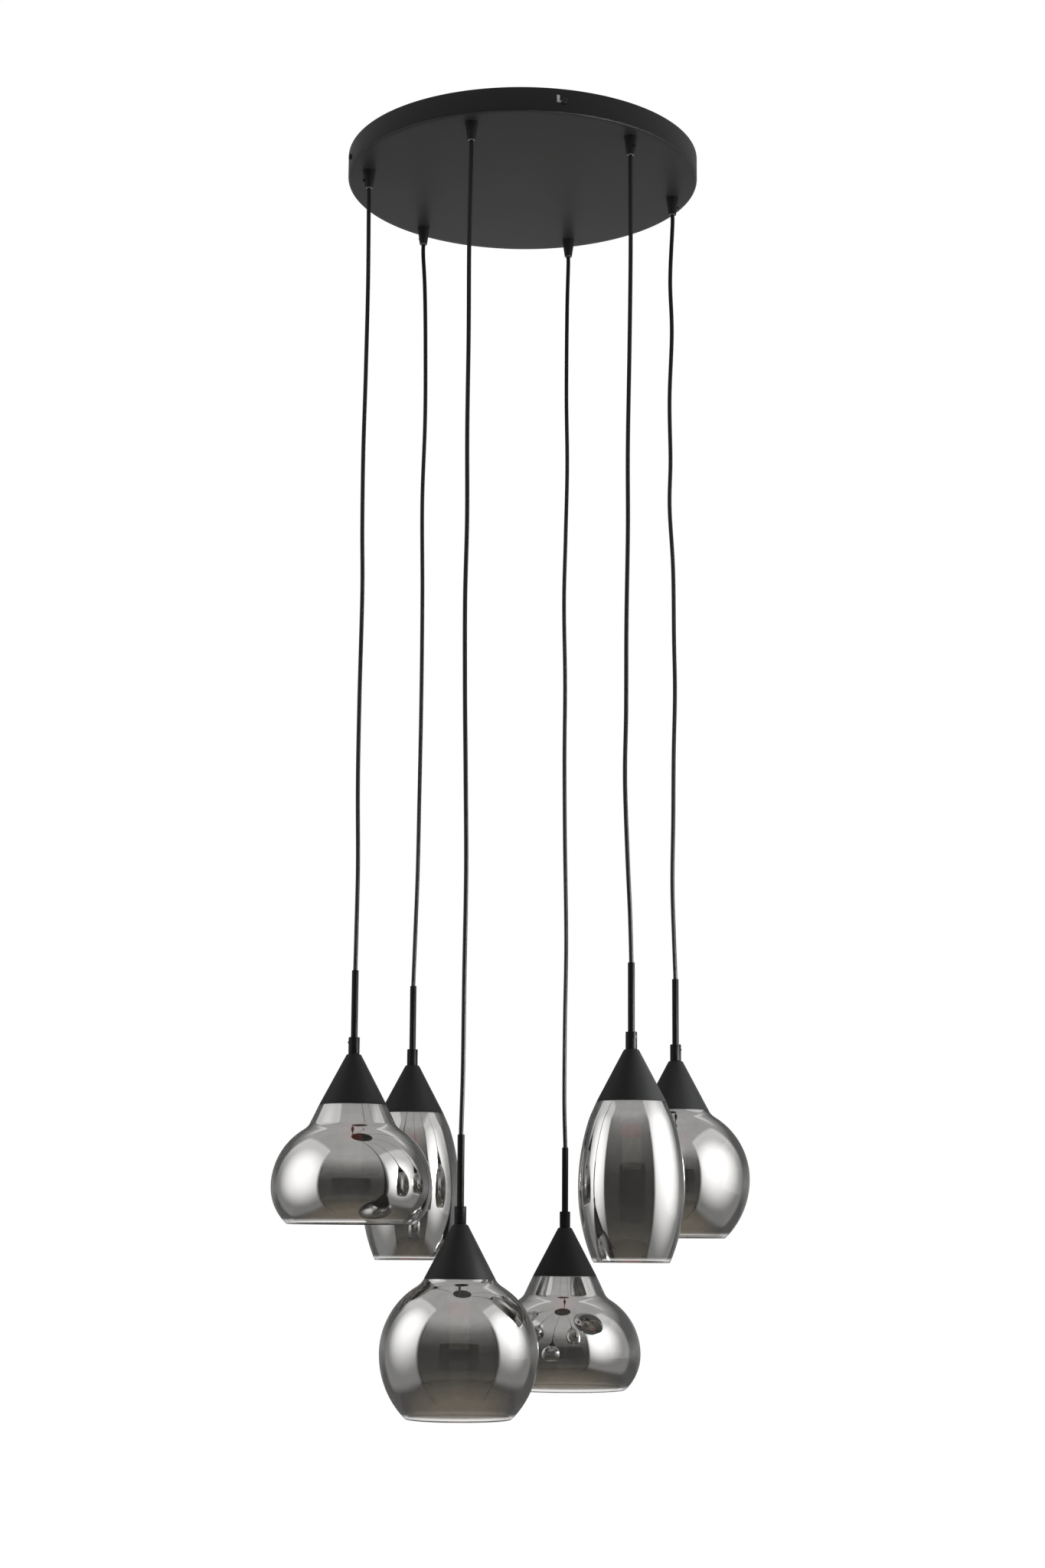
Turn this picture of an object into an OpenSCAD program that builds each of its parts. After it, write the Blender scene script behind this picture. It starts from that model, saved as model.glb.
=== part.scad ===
// Cluster pendant light: six smoked glass shades that hang by cords from one round ceiling plate.
// The origin is the middle of the mounting bracket's top face, which lies on the ceiling. +Z is up,
// and the side that faces the room's viewer is -Y.

/* [Ceiling plate] */
// Outer diameter of the ceiling plate
plate_d = 500; // [450:5:600]
// Height of its turned-up wall
plate_h = 34; // [30:1:50]
// Thickness of its sheet
plate_t = 1.5; // [1:0.1:2.5]
// Slit between the plate's wall and the ceiling
plate_gap = 0.5; // [0.3:0.1:3]
// Radius of the edge between wall and underside
plate_edge_r = 3; // [2.6:0.1:6]

/* [Mounting bracket] */
// Thickness of the bracket's steel
bracket_t = 2; // [1.5:0.1:3]
// Width of each of its four arms
arm_w = 22; // [16:1:26]
// Height of the tab at the end of an arm
tab_h = 26; // [24:1:28]
// Direction of the first arm, in degrees from +X
arm_angle = 13.2; // [0:0.1:30]
// Diameter of the circle of holes for the ceiling screws
ceiling_pcd = 120; // [100:5:140]
// Diameter of a ceiling screw's hole
ceiling_hole_d = 5.5; // [4:0.1:8]
// Diameter of the hole for the supply cable
supply_hole_d = 12; // [8:1:16]

/* [Side screws] */
// Diameter of a side screw
side_screw_d = 4; // [3:0.5:5]
// Length of a side screw under its head
side_screw_l = 10; // [8:1:16]
// Diameter of its head
side_head_d = 8; // [7:0.5:10]
// Height of its head
side_head_h = 2.4; // [1.8:0.1:4]
// Depth of the screw below the plate's upper edge
side_screw_depth = 17.2; // [14:0.1:20]
// Sideways length of the slot's foot, from screw to upright leg
slot_foot = 8.2; // [7:0.1:12]
// Height of the slot's upright leg above the screw
slot_leg = 10.3; // [6:0.1:11]

/* [Wiring] */
// Length of the terminal block
block_l = 56; // [40:1:64]
// Width of the terminal block
block_w = 20; // [16:1:30]
// Height of the terminal block
block_h = 15; // [10:1:16]
// Distance from the supply cable's hole to the block
block_margin = 8; // [4:1:12]
// Number of its clamps
block_poles = 3; // [2:1:4]
// Diameter of the earth screw's head
earth_head_d = 8; // [6:0.5:10]
// Radius at which the cord tails end
tail_end_r = 80; // [76:1:120]

/* [Cord grips] */
// Distance from the plate's outer edge to the row of grips
ring_inset = 27.5; // [24:0.5:40]
// Direction of the first grip, in degrees from +X
ring_start = -168; // [-180:1:-150]
// Height of a grip below the plate
grip_h = 26; // [22:0.5:34]
// Diameter of its wide end, on the plate
grip_top_d = 18; // [15:0.5:20]
// Diameter of its narrow end
grip_end_d = 10.8; // [10.4:0.1:14]
// Diameter of its threaded stud
stud_d = 10; // [9.5:0.1:11]
// Length of its stud above the plate's inner face
stud_h = 10; // [6:0.5:12]
// Width of its nut across the flats
nut_af = 14; // [13:0.5:17]
// Height of its nut
nut_h = 3; // [2:0.5:5]
// Diameter of the pale collar in the grip's mouth
collar_d = 9.2; // [8.6:0.1:9.8]
// Length of the collar
collar_h = 7; // [5:0.5:9]
// Diameter of the clamping screw
clamp_screw_d = 3; // [2.5:0.5:4]

/* [Cords and rods] */
// Diameter of a cord
cord_d = 5.8; // [5:0.1:6]
// Outer diameter of a rod
rod_d = 9; // [8.6:0.1:12]
// Length of a rod above its coupling
rod_h = 90; // [50:1:150]
// Diameter of a coupling
coupling_d = 15; // [14:0.5:17]
// Height of a coupling
coupling_h = 22.5; // [18:0.5:30]
// Depth that the rod goes into its coupling
rod_seat = 14; // [8:0.5:16]
// Distance from the ceiling to the base of a high cone cap
drop_high = 1353; // [1340:1:1400]
// Distance from the ceiling to the base of a low cone cap
drop_low = 1578; // [1570:1:1640]

/* [Cone caps and lampholders] */
// Diameter of a cone cap's base, where the glass starts
cone_d = 90; // [80:1:94]
// Diameter of its top, where the round shoulder starts
cone_top_d = 22.4; // [20:0.2:26]
// Height of a cone cap
cone_h = 67.5; // [62:0.5:76]
// Thickness of its sheet
cone_t = 1.2; // [0.8:0.1:2]
// Radius of its shoulder
shoulder_r = 3.5; // [2:0.5:5]
// Diameter of a lampholder
holder_d = 28; // [26:1:30]
// Length of a lampholder below the cone's base
holder_below = 12; // [11:0.5:16]
// Diameter of the shade rings
shade_ring_d = 43; // [36:1:50]
// Height of the ring above the glass
upper_ring_h = 4; // [3:0.5:6]
// Height of the ring below the glass
lower_ring_h = 7; // [5:0.5:8]

/* [Bulbs] */
// Diameter of the bulb's clear cover
bulb_d = 31.5; // [29:0.5:33]
// Distance from the cone's base to the bulb's lower end
bulb_reach = 90; // [75:1:110]
// Radius of the edge of its lower end
bulb_edge_r = 4; // [2:0.5:6]
// Diameter of its screw cap
cap_d = 14; // [13.5:0.1:14.2]
// Length of its screw cap
cap_h = 18; // [15:0.5:20]

/* [Glass] */
// Thickness of the glass
glass_t = 2.6; // [2:0.1:4]
// Height of the soft bend between the neck and the belly
bend_h = 5; // [3:0.5:5.5]

/* [Globe shade] */
// Height of the neck that carries on the cone
globe_neck_h = 6; // [6:0.5:10]
// Flare of the neck, in degrees from upright
globe_flare = 26; // [20:0.5:30]
// Widest diameter
globe_d = 200; // [180:2:220]
// Depth of the widest place below the cone
globe_belly = 92; // [80:1:100]
// Diameter of the open rim
globe_rim_d = 132; // [110:2:150]
// Height of the shade
globe_h = 172; // [150:1:190]

/* [Onion shade] */
// Height of the neck that carries on the cone
onion_neck_h = 30; // [20:1:36]
// Flare of the neck, in degrees from upright
onion_flare = 25.5; // [20:0.5:28]
// Widest diameter
onion_d = 214; // [190:2:220]
// Depth of the widest place below the cone
onion_belly = 108; // [95:1:115]
// Diameter of the open rim
onion_rim_d = 170; // [150:2:180]
// Height of the shade
onion_h = 157; // [145:1:175]

/* [Tall shade] */
// Height of the neck that carries on the cone
tall_neck_h = 20; // [14:1:24]
// Flare of the neck, in degrees from upright
tall_flare = 24; // [18:0.5:28]
// Widest diameter
tall_d = 137; // [125:1:150]
// Depth of the widest place below the cone
tall_belly = 110; // [95:1:125]
// Diameter of the open rim
tall_rim_d = 98; // [85:1:115]
// Height of the shade
tall_h = 204; // [185:1:230]

/* [Hidden] */
PENDANTS = [1, 2, 3, 4, 5, 6];
PENDANT_PIECES = ["cord_", "rod_", "coupling_", "cone_cap_", "lampholder_", "shade_rings_", "glass_", "bulb_"];

// Clearances and steps
eps = 0.01;
running_gap = 0.3;
thread_gap = 0.1;
bore_gap = 0.25;
fine = 48;
arc_steps = 14;
bend_steps = 5;
shoulder_steps = 6;
edge_steps = 6;
cord_sides = 8;

// Colours
BLACK = [0.05, 0.05, 0.055];
DARK = [0.10, 0.10, 0.105];
ZINC = [0.74, 0.75, 0.76];
IVORY = [0.80, 0.77, 0.71];
BRASS = [0.78, 0.62, 0.30];
SMOKE = [0.42, 0.41, 0.40, 0.6];

// Levels of the plate and the grips
plate_r = plate_d / 2;
plate_top = -plate_gap;
plate_bottom = plate_top - plate_h;
plate_floor = plate_bottom + plate_t;
mouth_z = plate_bottom - grip_h;
ring_r = plate_r - ring_inset;
cord_r = cord_d / 2;
cord_bore_r = cord_r + bore_gap;
side_screw_z = plate_top - side_screw_depth;
tab_face = plate_r - plate_t - 0.6;
side_bore_r = side_screw_d / 2 + thread_gap / 2;
slot_r = side_screw_d / 2 + 0.35;

// Places of the pieces inside a grip and inside the plate
grip_screw_z = mouth_z + collar_h + clamp_screw_d + 1;
clamp_r = clamp_screw_d / 2;
tail_start_z = mouth_z + cord_r + running_gap;
tail_bend_r = 8;
tail_z = plate_floor + stud_h + tail_bend_r + 1;
block_y = supply_hole_d / 2 + block_margin + block_w / 2;
earth_r = 96;

// Levels of a pendant, from the base of its cone cap
coupling_z = cone_h;
rod_z = coupling_z + coupling_h;
rod_top = rod_z + rod_h;
cone_r = cone_d / 2;
cone_top_r = cone_top_d / 2;
cone_slope = (cone_r - cone_top_r) / (cone_h - shoulder_r);
cone_inner_top = cone_h - cone_t;
holder_r = holder_d / 2;
holder_cap_r = cone_top_r - shoulder_r - 0.2;
holder_neck_z = cone_h - shoulder_r - (holder_r + cone_t * 2 - cone_top_r) / cone_slope;
holder_bore_r = cap_d / 2 + bore_gap;
ring_bore_r = holder_r + thread_gap;
stud_r = stud_d / 2;
nipple_l = 13;
bulb_r = bulb_d / 2;
bulb_neck_r = holder_r - 2.6;
bulb_neck_top = -holder_below + 4;
bulb_flare_z = -holder_below - 10;
cap_top = bulb_neck_top + cap_h;
tip_h = 2;
tip_r = 2.5;

// Shade of each pendant, and whether it hangs low
SHADES = ["onion", "globe", "tall", "globe", "onion", "tall"];
LOW = [false, true, false, false, true, false];

// The outline of each shade: flare of the neck in degrees, neck height, belly radius and depth, rim radius
// and depth
function shade_form(kind) =
    kind == "globe" ? [globe_flare, globe_neck_h, globe_d / 2, globe_belly, globe_rim_d / 2, globe_h]
    : kind == "onion" ? [onion_flare, onion_neck_h, onion_d / 2, onion_belly, onion_rim_d / 2, onion_h]
    : [tall_flare, tall_neck_h, tall_d / 2, tall_belly, tall_rim_d / 2, tall_h];

// Waves of each cord, as sideways offset, offset away from the viewer, and height
CORD_WAVES = [
    [[1, 0, -200], [0, 1, -330], [-1.5, 0, -450], [-1, -1, -560], [0.5, 0, -650], [-1, 1, -800],
     [-1, 0, -920], [1, 0, -1030], [0.5, 0, -1120]],
    [[-1.5, 0, -200], [-1, 1, -340], [-1.5, 0, -470], [-0.5, -1, -590], [-2, 0, -700], [-1, 1, -820],
     [1, 0, -930], [3, -1, -1060], [2, 0, -1200], [1.5, 0, -1320]],
    [[0, 0, -200], [-1.5, 1, -330], [-4, 0, -480], [-4, -1, -590], [-6, 0, -720], [-6.5, 1, -840],
     [-8, 0, -930], [-5, -1, -1030], [-1.5, 0, -1110]],
    [[-3.5, 0, -160], [-1.5, 0, -240], [-5, 1, -340], [-4, 0, -430], [-5.5, 0, -500], [-1, -1, -590],
     [0, 0, -690], [1, 0, -770], [-1, 1, -860], [-2, 0, -950], [-3.5, 0, -1040], [-1.5, 0, -1120]],
    [[-1.5, 0, -150], [-2, 1, -280], [-0.5, 0, -390], [-2.5, 0, -500], [-4.5, -1, -600], [-2.5, 0, -720],
     [-3, 0, -830], [-2, 0, -950], [0.5, 1, -1100], [-1, 0, -1220], [-1.5, 0, -1330]],
    [[3, 0, -130], [5, 0, -210], [6, 1, -330], [3.5, 0, -460], [5.5, 0, -600], [6, -1, -750],
     [5, 0, -900], [4, 0, -1010], [1.5, 0, -1110]]
];

// Places of a pendant
function grip_angle(i) = ring_start + (i - 1) * 360 / len(PENDANTS);
function grip_xy(i) = [ring_r * cos(grip_angle(i)), ring_r * sin(grip_angle(i))];
function drop(i) = LOW[i - 1] ? drop_low : drop_high;

// Points of an arc about a centre, from one angle to another
function arc(centre, radius, from, to, steps) =
    [for (k = [0:steps]) let (a = from + (to - from) * k / steps) centre + radius * [cos(a), sin(a)]];

// A circular arc that ends upright at [r1, z1] and passes through [r0, z0]: its radius, the place on it at
// height z, and its points between two heights
function belly_r(r0, z0, r1, z1) = (pow(r1 - r0, 2) + pow(z1 - z0, 2)) / (2 * (r1 - r0));
function belly_at(r0, z0, r1, z1, z) =
    let (big = belly_r(r0, z0, r1, z1)) r1 - big + sqrt(big * big - pow(z - z1, 2));
function belly_arc(r0, z0, r1, z1, from_z, to_z, steps) =
    let (big = belly_r(r0, z0, r1, z1), a0 = asin((from_z - z1) / big), a1 = asin((to_z - z1) / big))
    [for (k = [0:steps]) let (a = a0 + (a1 - a0) * k / steps) [r1 - big + big * cos(a), z1 + big * sin(a)]];

// Points of a quadratic curve
function bend(p, q, r, steps) =
    [for (k = [0:steps - 1]) let (t = k / steps) pow(1 - t, 2) * p + 2 * t * (1 - t) * q + t * t * r];

// Outer line of a shade, from the neck down to the rim
function shade_line(kind) =
    let (
        form = shade_form(kind),
        flare = tan(form[0]),
        corner = [cone_r + form[1] * flare, -form[1]],
        start = [cone_r + (form[1] - bend_h) * flare, bend_h - form[1]],
        turn_z = -form[1] - bend_h,
        turn = [belly_at(corner[0], corner[1], form[2], -form[3], turn_z), turn_z]
    )
    concat(
        bend(start, corner, turn, bend_steps),
        belly_arc(corner[0], corner[1], form[2], -form[3], turn_z, -form[3], arc_steps),
        [for (k = [1:arc_steps])
            belly_arc(form[4], -form[5], form[2], -form[3], -form[3], -form[5], arc_steps)[k]]
    );

// A line moved inwards by the glass's thickness, square to itself
function inward(line) =
    [for (k = [0:len(line) - 1])
        let (
            step = line[min(k + 1, len(line) - 1)] - line[max(k - 1, 0)],
            side = [step[1], -step[0]] / norm(step)
        )
        line[k] + side * glass_t];

// Closed outline of a shade: shoulder, outer wall, rim and inner wall
function shade_outline(kind) =
    let (
        line = shade_line(kind),
        flare = shade_form(kind)[0],
        inside = inward(line),
        top = [cone_r + glass_t * tan(flare) - glass_t / cos(flare), -glass_t]
    )
    concat(
        [[ring_bore_r, 0], [cone_r, 0]],
        line,
        [for (k = [len(inside) - 1:-1:0]) if (inside[k][1] < -glass_t - eps) inside[k]],
        [top, [ring_bore_r, -glass_t]]
    );

// Cord routes: a smooth curve through the waves, upright at both ends
function smooth(p0, p1, p2, p3, t) =
    0.5 * ((2 * p1) + (p2 - p0) * t + (2 * p0 - 5 * p1 + 4 * p2 - p3) * t * t
        + (3 * p1 - p0 - 3 * p2 + p3) * t * t * t);
function cord_knots(i) =
    let (foot = -drop(i) + rod_top)
    concat(
        [[0, 0, mouth_z + cord_d * 3], [0, 0, mouth_z], [0, 0, mouth_z - cord_d * 3]],
        CORD_WAVES[i - 1],
        [[0, 0, foot + cord_d], [0, 0, foot - cord_d], [0, 0, foot - cord_d * 3]]
    );
function cord_path(i) =
    let (knots = cord_knots(i), last = len(knots) - 1)
    [for (k = [1:last - 2])
        let (steps = max(1, round(norm(knots[k + 1] - knots[k]) / (cord_d * 3))))
        for (s = [0:steps - 1]) smooth(knots[k - 1], knots[k], knots[k + 1], knots[k + 2], s / steps)];

// The rings of a cord, each as height, middle and radius: a round upper end, the route, and the straight
// stretch through the rod to the lampholder
function cord_rings(i) =
    let (path = cord_path(i), inner_end = -drop(i) + cone_h - nipple_l)
    concat(
        [for (a = [80:-20:20]) [path[0] + [0, 0, cord_r * sin(a)], cord_r * cos(a)]],
        [for (p = path) [p, cord_r]],
        [[[0, 0, -drop(i) + rod_top - cord_d], cord_r], [[0, 0, inner_end], cord_r]]
    );
function ring_points(ring) =
    [for (k = [0:cord_sides - 1])
        let (a = 360 * k / cord_sides) ring[0] + ring[1] * [cos(a), sin(a), 0]];
function tube_faces(rings) =
    concat(
        [[for (k = [cord_sides - 1:-1:0]) k]],
        [for (j = [0:rings - 2], k = [0:cord_sides - 1])
            let (n = (k + 1) % cord_sides, a = j * cord_sides, b = a + cord_sides)
            each [[a + k, a + n, b + n], [a + k, b + n, b + k]]],
        [[for (k = [0:cord_sides - 1]) (rings - 1) * cord_sides + k]]
    );

// Length of a cord from the grip's mouth to the rod
function path_length(path, k = 1) = k >= len(path) ? 0 : norm(path[k] - path[k - 1]) + path_length(path, k + 1);
for (i = PENDANTS) echo(cord = i, free_length = path_length(cord_path(i)));

// General helpers
module ring_of(radius, height, bore) {
    difference() {
        cylinder(h = height, r = radius, $fn = fine);
        translate([0, 0, -1]) cylinder(h = height + 2, r = bore, $fn = fine);
    }
}

module at_arms() {
    for (k = [0:3]) rotate([0, 0, arm_angle + 90 * k]) children();
}

module at_grips() {
    for (i = PENDANTS) rotate([0, 0, grip_angle(i)]) translate([ring_r, 0, 0]) children();
}

module at_pendant(i) {
    translate([grip_xy(i)[0], grip_xy(i)[1], -drop(i)]) children();
}

// A rod along +X, from x = 0
module along_x(length, radius) {
    rotate([0, 90, 0]) cylinder(h = length, r = radius, $fn = fine);
}

// Steel cross on the ceiling, with a tab at each arm's end that takes a side screw
module mounting_bracket() {
    color(ZINC) difference() {
        union() {
            at_arms() {
                translate([0, -arm_w / 2, -bracket_t]) cube([tab_face, arm_w, bracket_t]);
                translate([tab_face - bracket_t, -arm_w / 2, -tab_h]) cube([bracket_t, arm_w, tab_h]);
            }
        }
        at_arms() {
            translate([ceiling_pcd / 2, 0, -bracket_t - 1])
                cylinder(h = bracket_t + 2, d = ceiling_hole_d, $fn = fine);
            translate([tab_face - bracket_t - 1, 0, side_screw_z]) along_x(bracket_t + 2, side_bore_r);
        }
        translate([0, 0, -bracket_t - 1]) cylinder(h = bracket_t + 2, d = supply_hole_d, $fn = fine);
        rotate([0, 0, arm_angle]) translate([earth_r, 0, -bracket_t - 1])
            cylinder(h = bracket_t + 2, r = side_bore_r, $fn = fine);
    }
}

// Four pan-head screws through the slots of the plate's wall
module side_screws() {
    color(BLACK) at_arms() translate([plate_r + running_gap, 0, side_screw_z]) difference() {
        union() {
            along_x(side_head_h, side_head_d / 2);
            translate([-side_screw_l, 0, 0]) along_x(side_screw_l + eps, side_screw_d / 2);
        }
        translate([side_head_h - 1.2, 0, 0]) rotate([0, 90, 0]) cylinder(h = 2, d = side_screw_d * 0.8, $fn = 6);
    }
}

// Terminal block under an arm of the bracket, beside the cable's hole
module terminal_block() {
    pitch = block_l / block_poles;
    color(IVORY) translate([0, block_y, -bracket_t]) difference() {
        translate([-block_l / 2, -block_w / 2, -block_h]) cube([block_l, block_w, block_h]);
        for (k = [0:block_poles - 1]) {
            translate([-block_l / 2 + pitch * (k + 0.5), 0, 0]) {
                translate([0, -block_w / 2 - 1, -block_h * 0.45]) rotate([-90, 0, 0])
                    cylinder(h = block_w + 2, d = block_h * 0.3, $fn = fine);
                for (side = [-1, 1]) translate([0, side * block_w / 4, -block_h - 1])
                    cylinder(h = block_h * 0.35 + 1, d = block_w * 0.2, $fn = fine);
            }
        }
        for (k = [1:block_poles - 1]) translate([-block_l / 2 + pitch * k - 0.6, -block_w / 2 - 1, -block_h - 1])
            cube([1.2, block_w + 2, block_h * 0.5]);
    }
}

// Earth screw in one arm of the bracket
module earth_screw() {
    color(BRASS) rotate([0, 0, arm_angle]) translate([earth_r, 0, 0]) difference() {
        union() {
            translate([0, 0, -bracket_t - side_head_h]) cylinder(h = side_head_h, d = earth_head_d, $fn = fine);
            translate([0, 0, -bracket_t - eps]) cylinder(h = bracket_t, d = side_screw_d, $fn = fine);
        }
        translate([-earth_head_d, -0.5, -bracket_t - side_head_h - 1]) cube([earth_head_d * 2, 1, 2]);
    }
}

// Pan with a turned-up wall, the grips' holes and the L-shaped slots
module ceiling_plate() {
    edge_centre = [plate_r - plate_edge_r, plate_bottom + plate_edge_r];
    color(DARK) difference() {
        rotate_extrude($fn = 180) polygon(concat(
            [[0, plate_bottom]],
            arc(edge_centre, plate_edge_r, -90, 0, edge_steps),
            [[plate_r, plate_top], [plate_r - plate_t, plate_top]],
            arc(edge_centre, plate_edge_r - plate_t, 0, -90, edge_steps),
            [[0, plate_floor]]
        ));
        at_grips() translate([0, 0, plate_bottom - 1])
            cylinder(h = plate_t + 2, d = stud_d + 2 * thread_gap, $fn = fine);
        at_arms() translate([plate_r - plate_t * 2, 0, side_screw_z]) {
            along_x(plate_t * 3, slot_r);
            translate([0, -slot_foot, -slot_r]) cube([plate_t * 3, slot_foot, slot_r * 2]);
            translate([0, -slot_foot - slot_r, -slot_r]) cube([plate_t * 3, slot_r * 2, slot_leg + slot_r]);
        }
    }
}

// Conical grips under the plate, each with a threaded stud through it and a side hole for its screw
module cord_grips() {
    seat_r = collar_d / 2 + thread_gap / 2;
    color(DARK) at_grips() difference() {
        union() {
            translate([0, 0, mouth_z]) cylinder(h = grip_h, d1 = grip_end_d, d2 = grip_top_d, $fn = fine);
            translate([0, 0, plate_bottom - eps]) cylinder(h = plate_t + stud_h, r = stud_r, $fn = fine);
        }
        translate([0, 0, mouth_z - 1]) cylinder(h = grip_h + plate_t + stud_h + 2, r = cord_bore_r, $fn = fine);
        translate([0, 0, mouth_z - 1]) cylinder(h = collar_h + 1, r = seat_r, $fn = fine);
        translate([0, 0, grip_screw_z]) along_x(grip_top_d, clamp_r + thread_gap / 2);
    }
}

// Pale collars in the mouths of the grips
module grip_collars() {
    color(IVORY) at_grips() translate([0, 0, mouth_z]) ring_of(collar_d / 2, collar_h, cord_bore_r);
}

// Clamping screws that press on the cords from outside
module grip_screws() {
    head_x = (grip_end_d + (grip_top_d - grip_end_d) * (grip_screw_z + clamp_screw_d - mouth_z) / grip_h) / 2;
    color(DARK) at_grips() translate([0, 0, grip_screw_z]) {
        translate([cord_r + eps, 0, 0]) along_x(head_x - cord_r, clamp_r);
        translate([head_x, 0, 0]) along_x(clamp_r * 1.2, clamp_r * 1.5);
    }
}

// Hexagon nuts on the studs, inside the plate
module grip_nuts() {
    color(ZINC) at_grips() translate([0, 0, plate_floor]) difference() {
        cylinder(h = nut_h, r = nut_af / sqrt(3), $fn = 6);
        translate([0, 0, -1]) cylinder(h = nut_h + 2, r = stud_r + thread_gap / 2, $fn = fine);
    }
}

// Ends of the cords inside the plate: up through the stud, round a bend and inwards to the terminal block
module cord_tails() {
    color(BLACK) at_grips() {
        translate([0, 0, tail_start_z]) cylinder(h = tail_z - tail_bend_r - tail_start_z, r = cord_r, $fn = fine);
        translate([-tail_bend_r, 0, tail_z - tail_bend_r]) rotate([90, 0, 0])
            rotate_extrude(angle = 90, $fn = fine) translate([tail_bend_r, 0]) circle(r = cord_r, $fn = fine);
        translate([-ring_r + tail_end_r, 0, tail_z]) along_x(ring_r - tail_end_r - tail_bend_r, cord_r);
    }
}

// Cord of one pendant, from the grip's mouth down through the rod
module cord(i) {
    rings = cord_rings(i);
    color(BLACK) translate([grip_xy(i)[0], grip_xy(i)[1], 0])
        polyhedron(points = [for (ring = rings) each ring_points(ring)], faces = tube_faces(len(rings)));
}

// Thin tube that the cord enters
module rod(i) {
    color(BLACK) at_pendant(i) translate([0, 0, rod_z - rod_seat]) ring_of(rod_d / 2, rod_h + rod_seat, cord_bore_r);
}

// Sleeve under the rod, with a nipple through the cone cap into the lampholder, and its set screw
module coupling(i) {
    seat_r = rod_d / 2 + thread_gap / 2;
    set_z = coupling_z + coupling_h - rod_seat / 2;
    set_r = clamp_screw_d / 2;
    color(DARK) at_pendant(i) {
        difference() {
            union() {
                translate([0, 0, coupling_z]) cylinder(h = coupling_h, d = coupling_d, $fn = fine);
                translate([0, 0, coupling_z - nipple_l]) cylinder(h = nipple_l + eps, r = stud_r, $fn = fine);
            }
            translate([0, 0, coupling_z - nipple_l - 1])
                cylinder(h = coupling_h + nipple_l + 2, r = cord_bore_r, $fn = fine);
            translate([0, 0, rod_z - rod_seat]) cylinder(h = rod_seat + 1, r = seat_r, $fn = fine);
            rotate([0, 0, grip_angle(i)]) translate([0, 0, set_z]) along_x(coupling_d, set_r + thread_gap / 2);
        }
        rotate([0, 0, grip_angle(i)]) translate([rod_d / 2 + eps, 0, set_z])
            along_x(coupling_d / 2 - rod_d / 2 + 0.8, set_r);
    }
}

// Thin metal cone with a round shoulder, over the lampholder
module cone_cap(i) {
    tilt = atan(cone_slope);
    centre = [cone_top_r - shoulder_r, cone_h - shoulder_r];
    color(DARK) at_pendant(i) rotate_extrude($fn = 96) polygon(concat(
        [[stud_r + thread_gap, cone_h]],
        arc(centre, shoulder_r, 90, tilt, shoulder_steps),
        [[cone_r, 0], [cone_r - cone_t / cos(tilt), 0]],
        arc(centre, shoulder_r - cone_t, tilt, 90, shoulder_steps),
        [[stud_r + thread_gap, cone_inner_top]]
    ));
}

// Lampholder inside the cone cap: round cap, threaded body, and a socket that is open below
module lampholder(i) {
    mouth_r = bulb_neck_r + running_gap * 2;
    socket_top = cap_top + tip_h + running_gap * 2;
    color(BLACK) at_pendant(i) rotate_extrude($fn = 72) polygon([
        [stud_r + thread_gap / 2, cone_inner_top],
        [holder_cap_r, cone_inner_top],
        [holder_r, holder_neck_z],
        [holder_r, -holder_below],
        [mouth_r, -holder_below],
        [mouth_r, bulb_neck_top + running_gap],
        [holder_bore_r, bulb_neck_top + running_gap],
        [holder_bore_r, socket_top],
        [0, socket_top],
        [0, socket_top + 3],
        [stud_r + thread_gap / 2, socket_top + 3]
    ]);
}

// Two threaded rings on the lampholder that clamp the glass between them
module shade_rings(i) {
    hub_r = (ring_bore_r + shade_ring_d / 2) / 2;
    color(BLACK) at_pendant(i) {
        ring_of(shade_ring_d / 2, upper_ring_h, ring_bore_r);
        translate([0, 0, -glass_t - lower_ring_h]) difference() {
            union() {
                translate([0, 0, lower_ring_h / 2]) cylinder(h = lower_ring_h / 2, d = shade_ring_d, $fn = fine);
                cylinder(h = lower_ring_h / 2 + eps, r = hub_r, $fn = fine);
            }
            translate([0, 0, -1]) cylinder(h = lower_ring_h + 2, r = ring_bore_r, $fn = fine);
        }
    }
}

// Blown glass shade, open at the bottom, with a shoulder that the rings clamp
module glass(i) {
    color(SMOKE) at_pendant(i) rotate_extrude($fn = 120) polygon(shade_outline(SHADES[i - 1]));
}

// LED bulb: screw cap with its contact, plastic base, and a clear cover over the LED barrel
module bulb(i) {
    color(IVORY) at_pendant(i) rotate_extrude($fn = 72) polygon(concat(
        [[0, cap_top + tip_h], [tip_r, cap_top + tip_h], [tip_r, cap_top], [cap_d / 2, cap_top]],
        [[cap_d / 2, bulb_neck_top], [bulb_neck_r, bulb_neck_top], [bulb_neck_r, -holder_below - 1]],
        [[bulb_r, bulb_flare_z]],
        arc([bulb_r - bulb_edge_r, -bulb_reach + bulb_edge_r], bulb_edge_r, 0, -90, edge_steps),
        [[0, -bulb_reach]]
    ));
}

mounting_bracket();
side_screws();
terminal_block();
earth_screw();
ceiling_plate();
cord_grips();
grip_collars();
grip_screws();
grip_nuts();
cord_tails();
for (i = PENDANTS) cord(i);
for (i = PENDANTS) rod(i);
for (i = PENDANTS) coupling(i);
for (i = PENDANTS) cone_cap(i);
for (i = PENDANTS) lampholder(i);
for (i = PENDANTS) shade_rings(i);
for (i = PENDANTS) glass(i);
for (i = PENDANTS) bulb(i);
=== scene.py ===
"""Cluster pendant light: six smoked glass shades on black cords under one round ceiling plate.

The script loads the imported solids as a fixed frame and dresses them. Sizes are metres in the solids' own
frame: the origin is the middle of the mounting bracket's top face, which lies on the ceiling, +Z is up, and
the viewer stands on the -Y side.
"""

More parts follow.
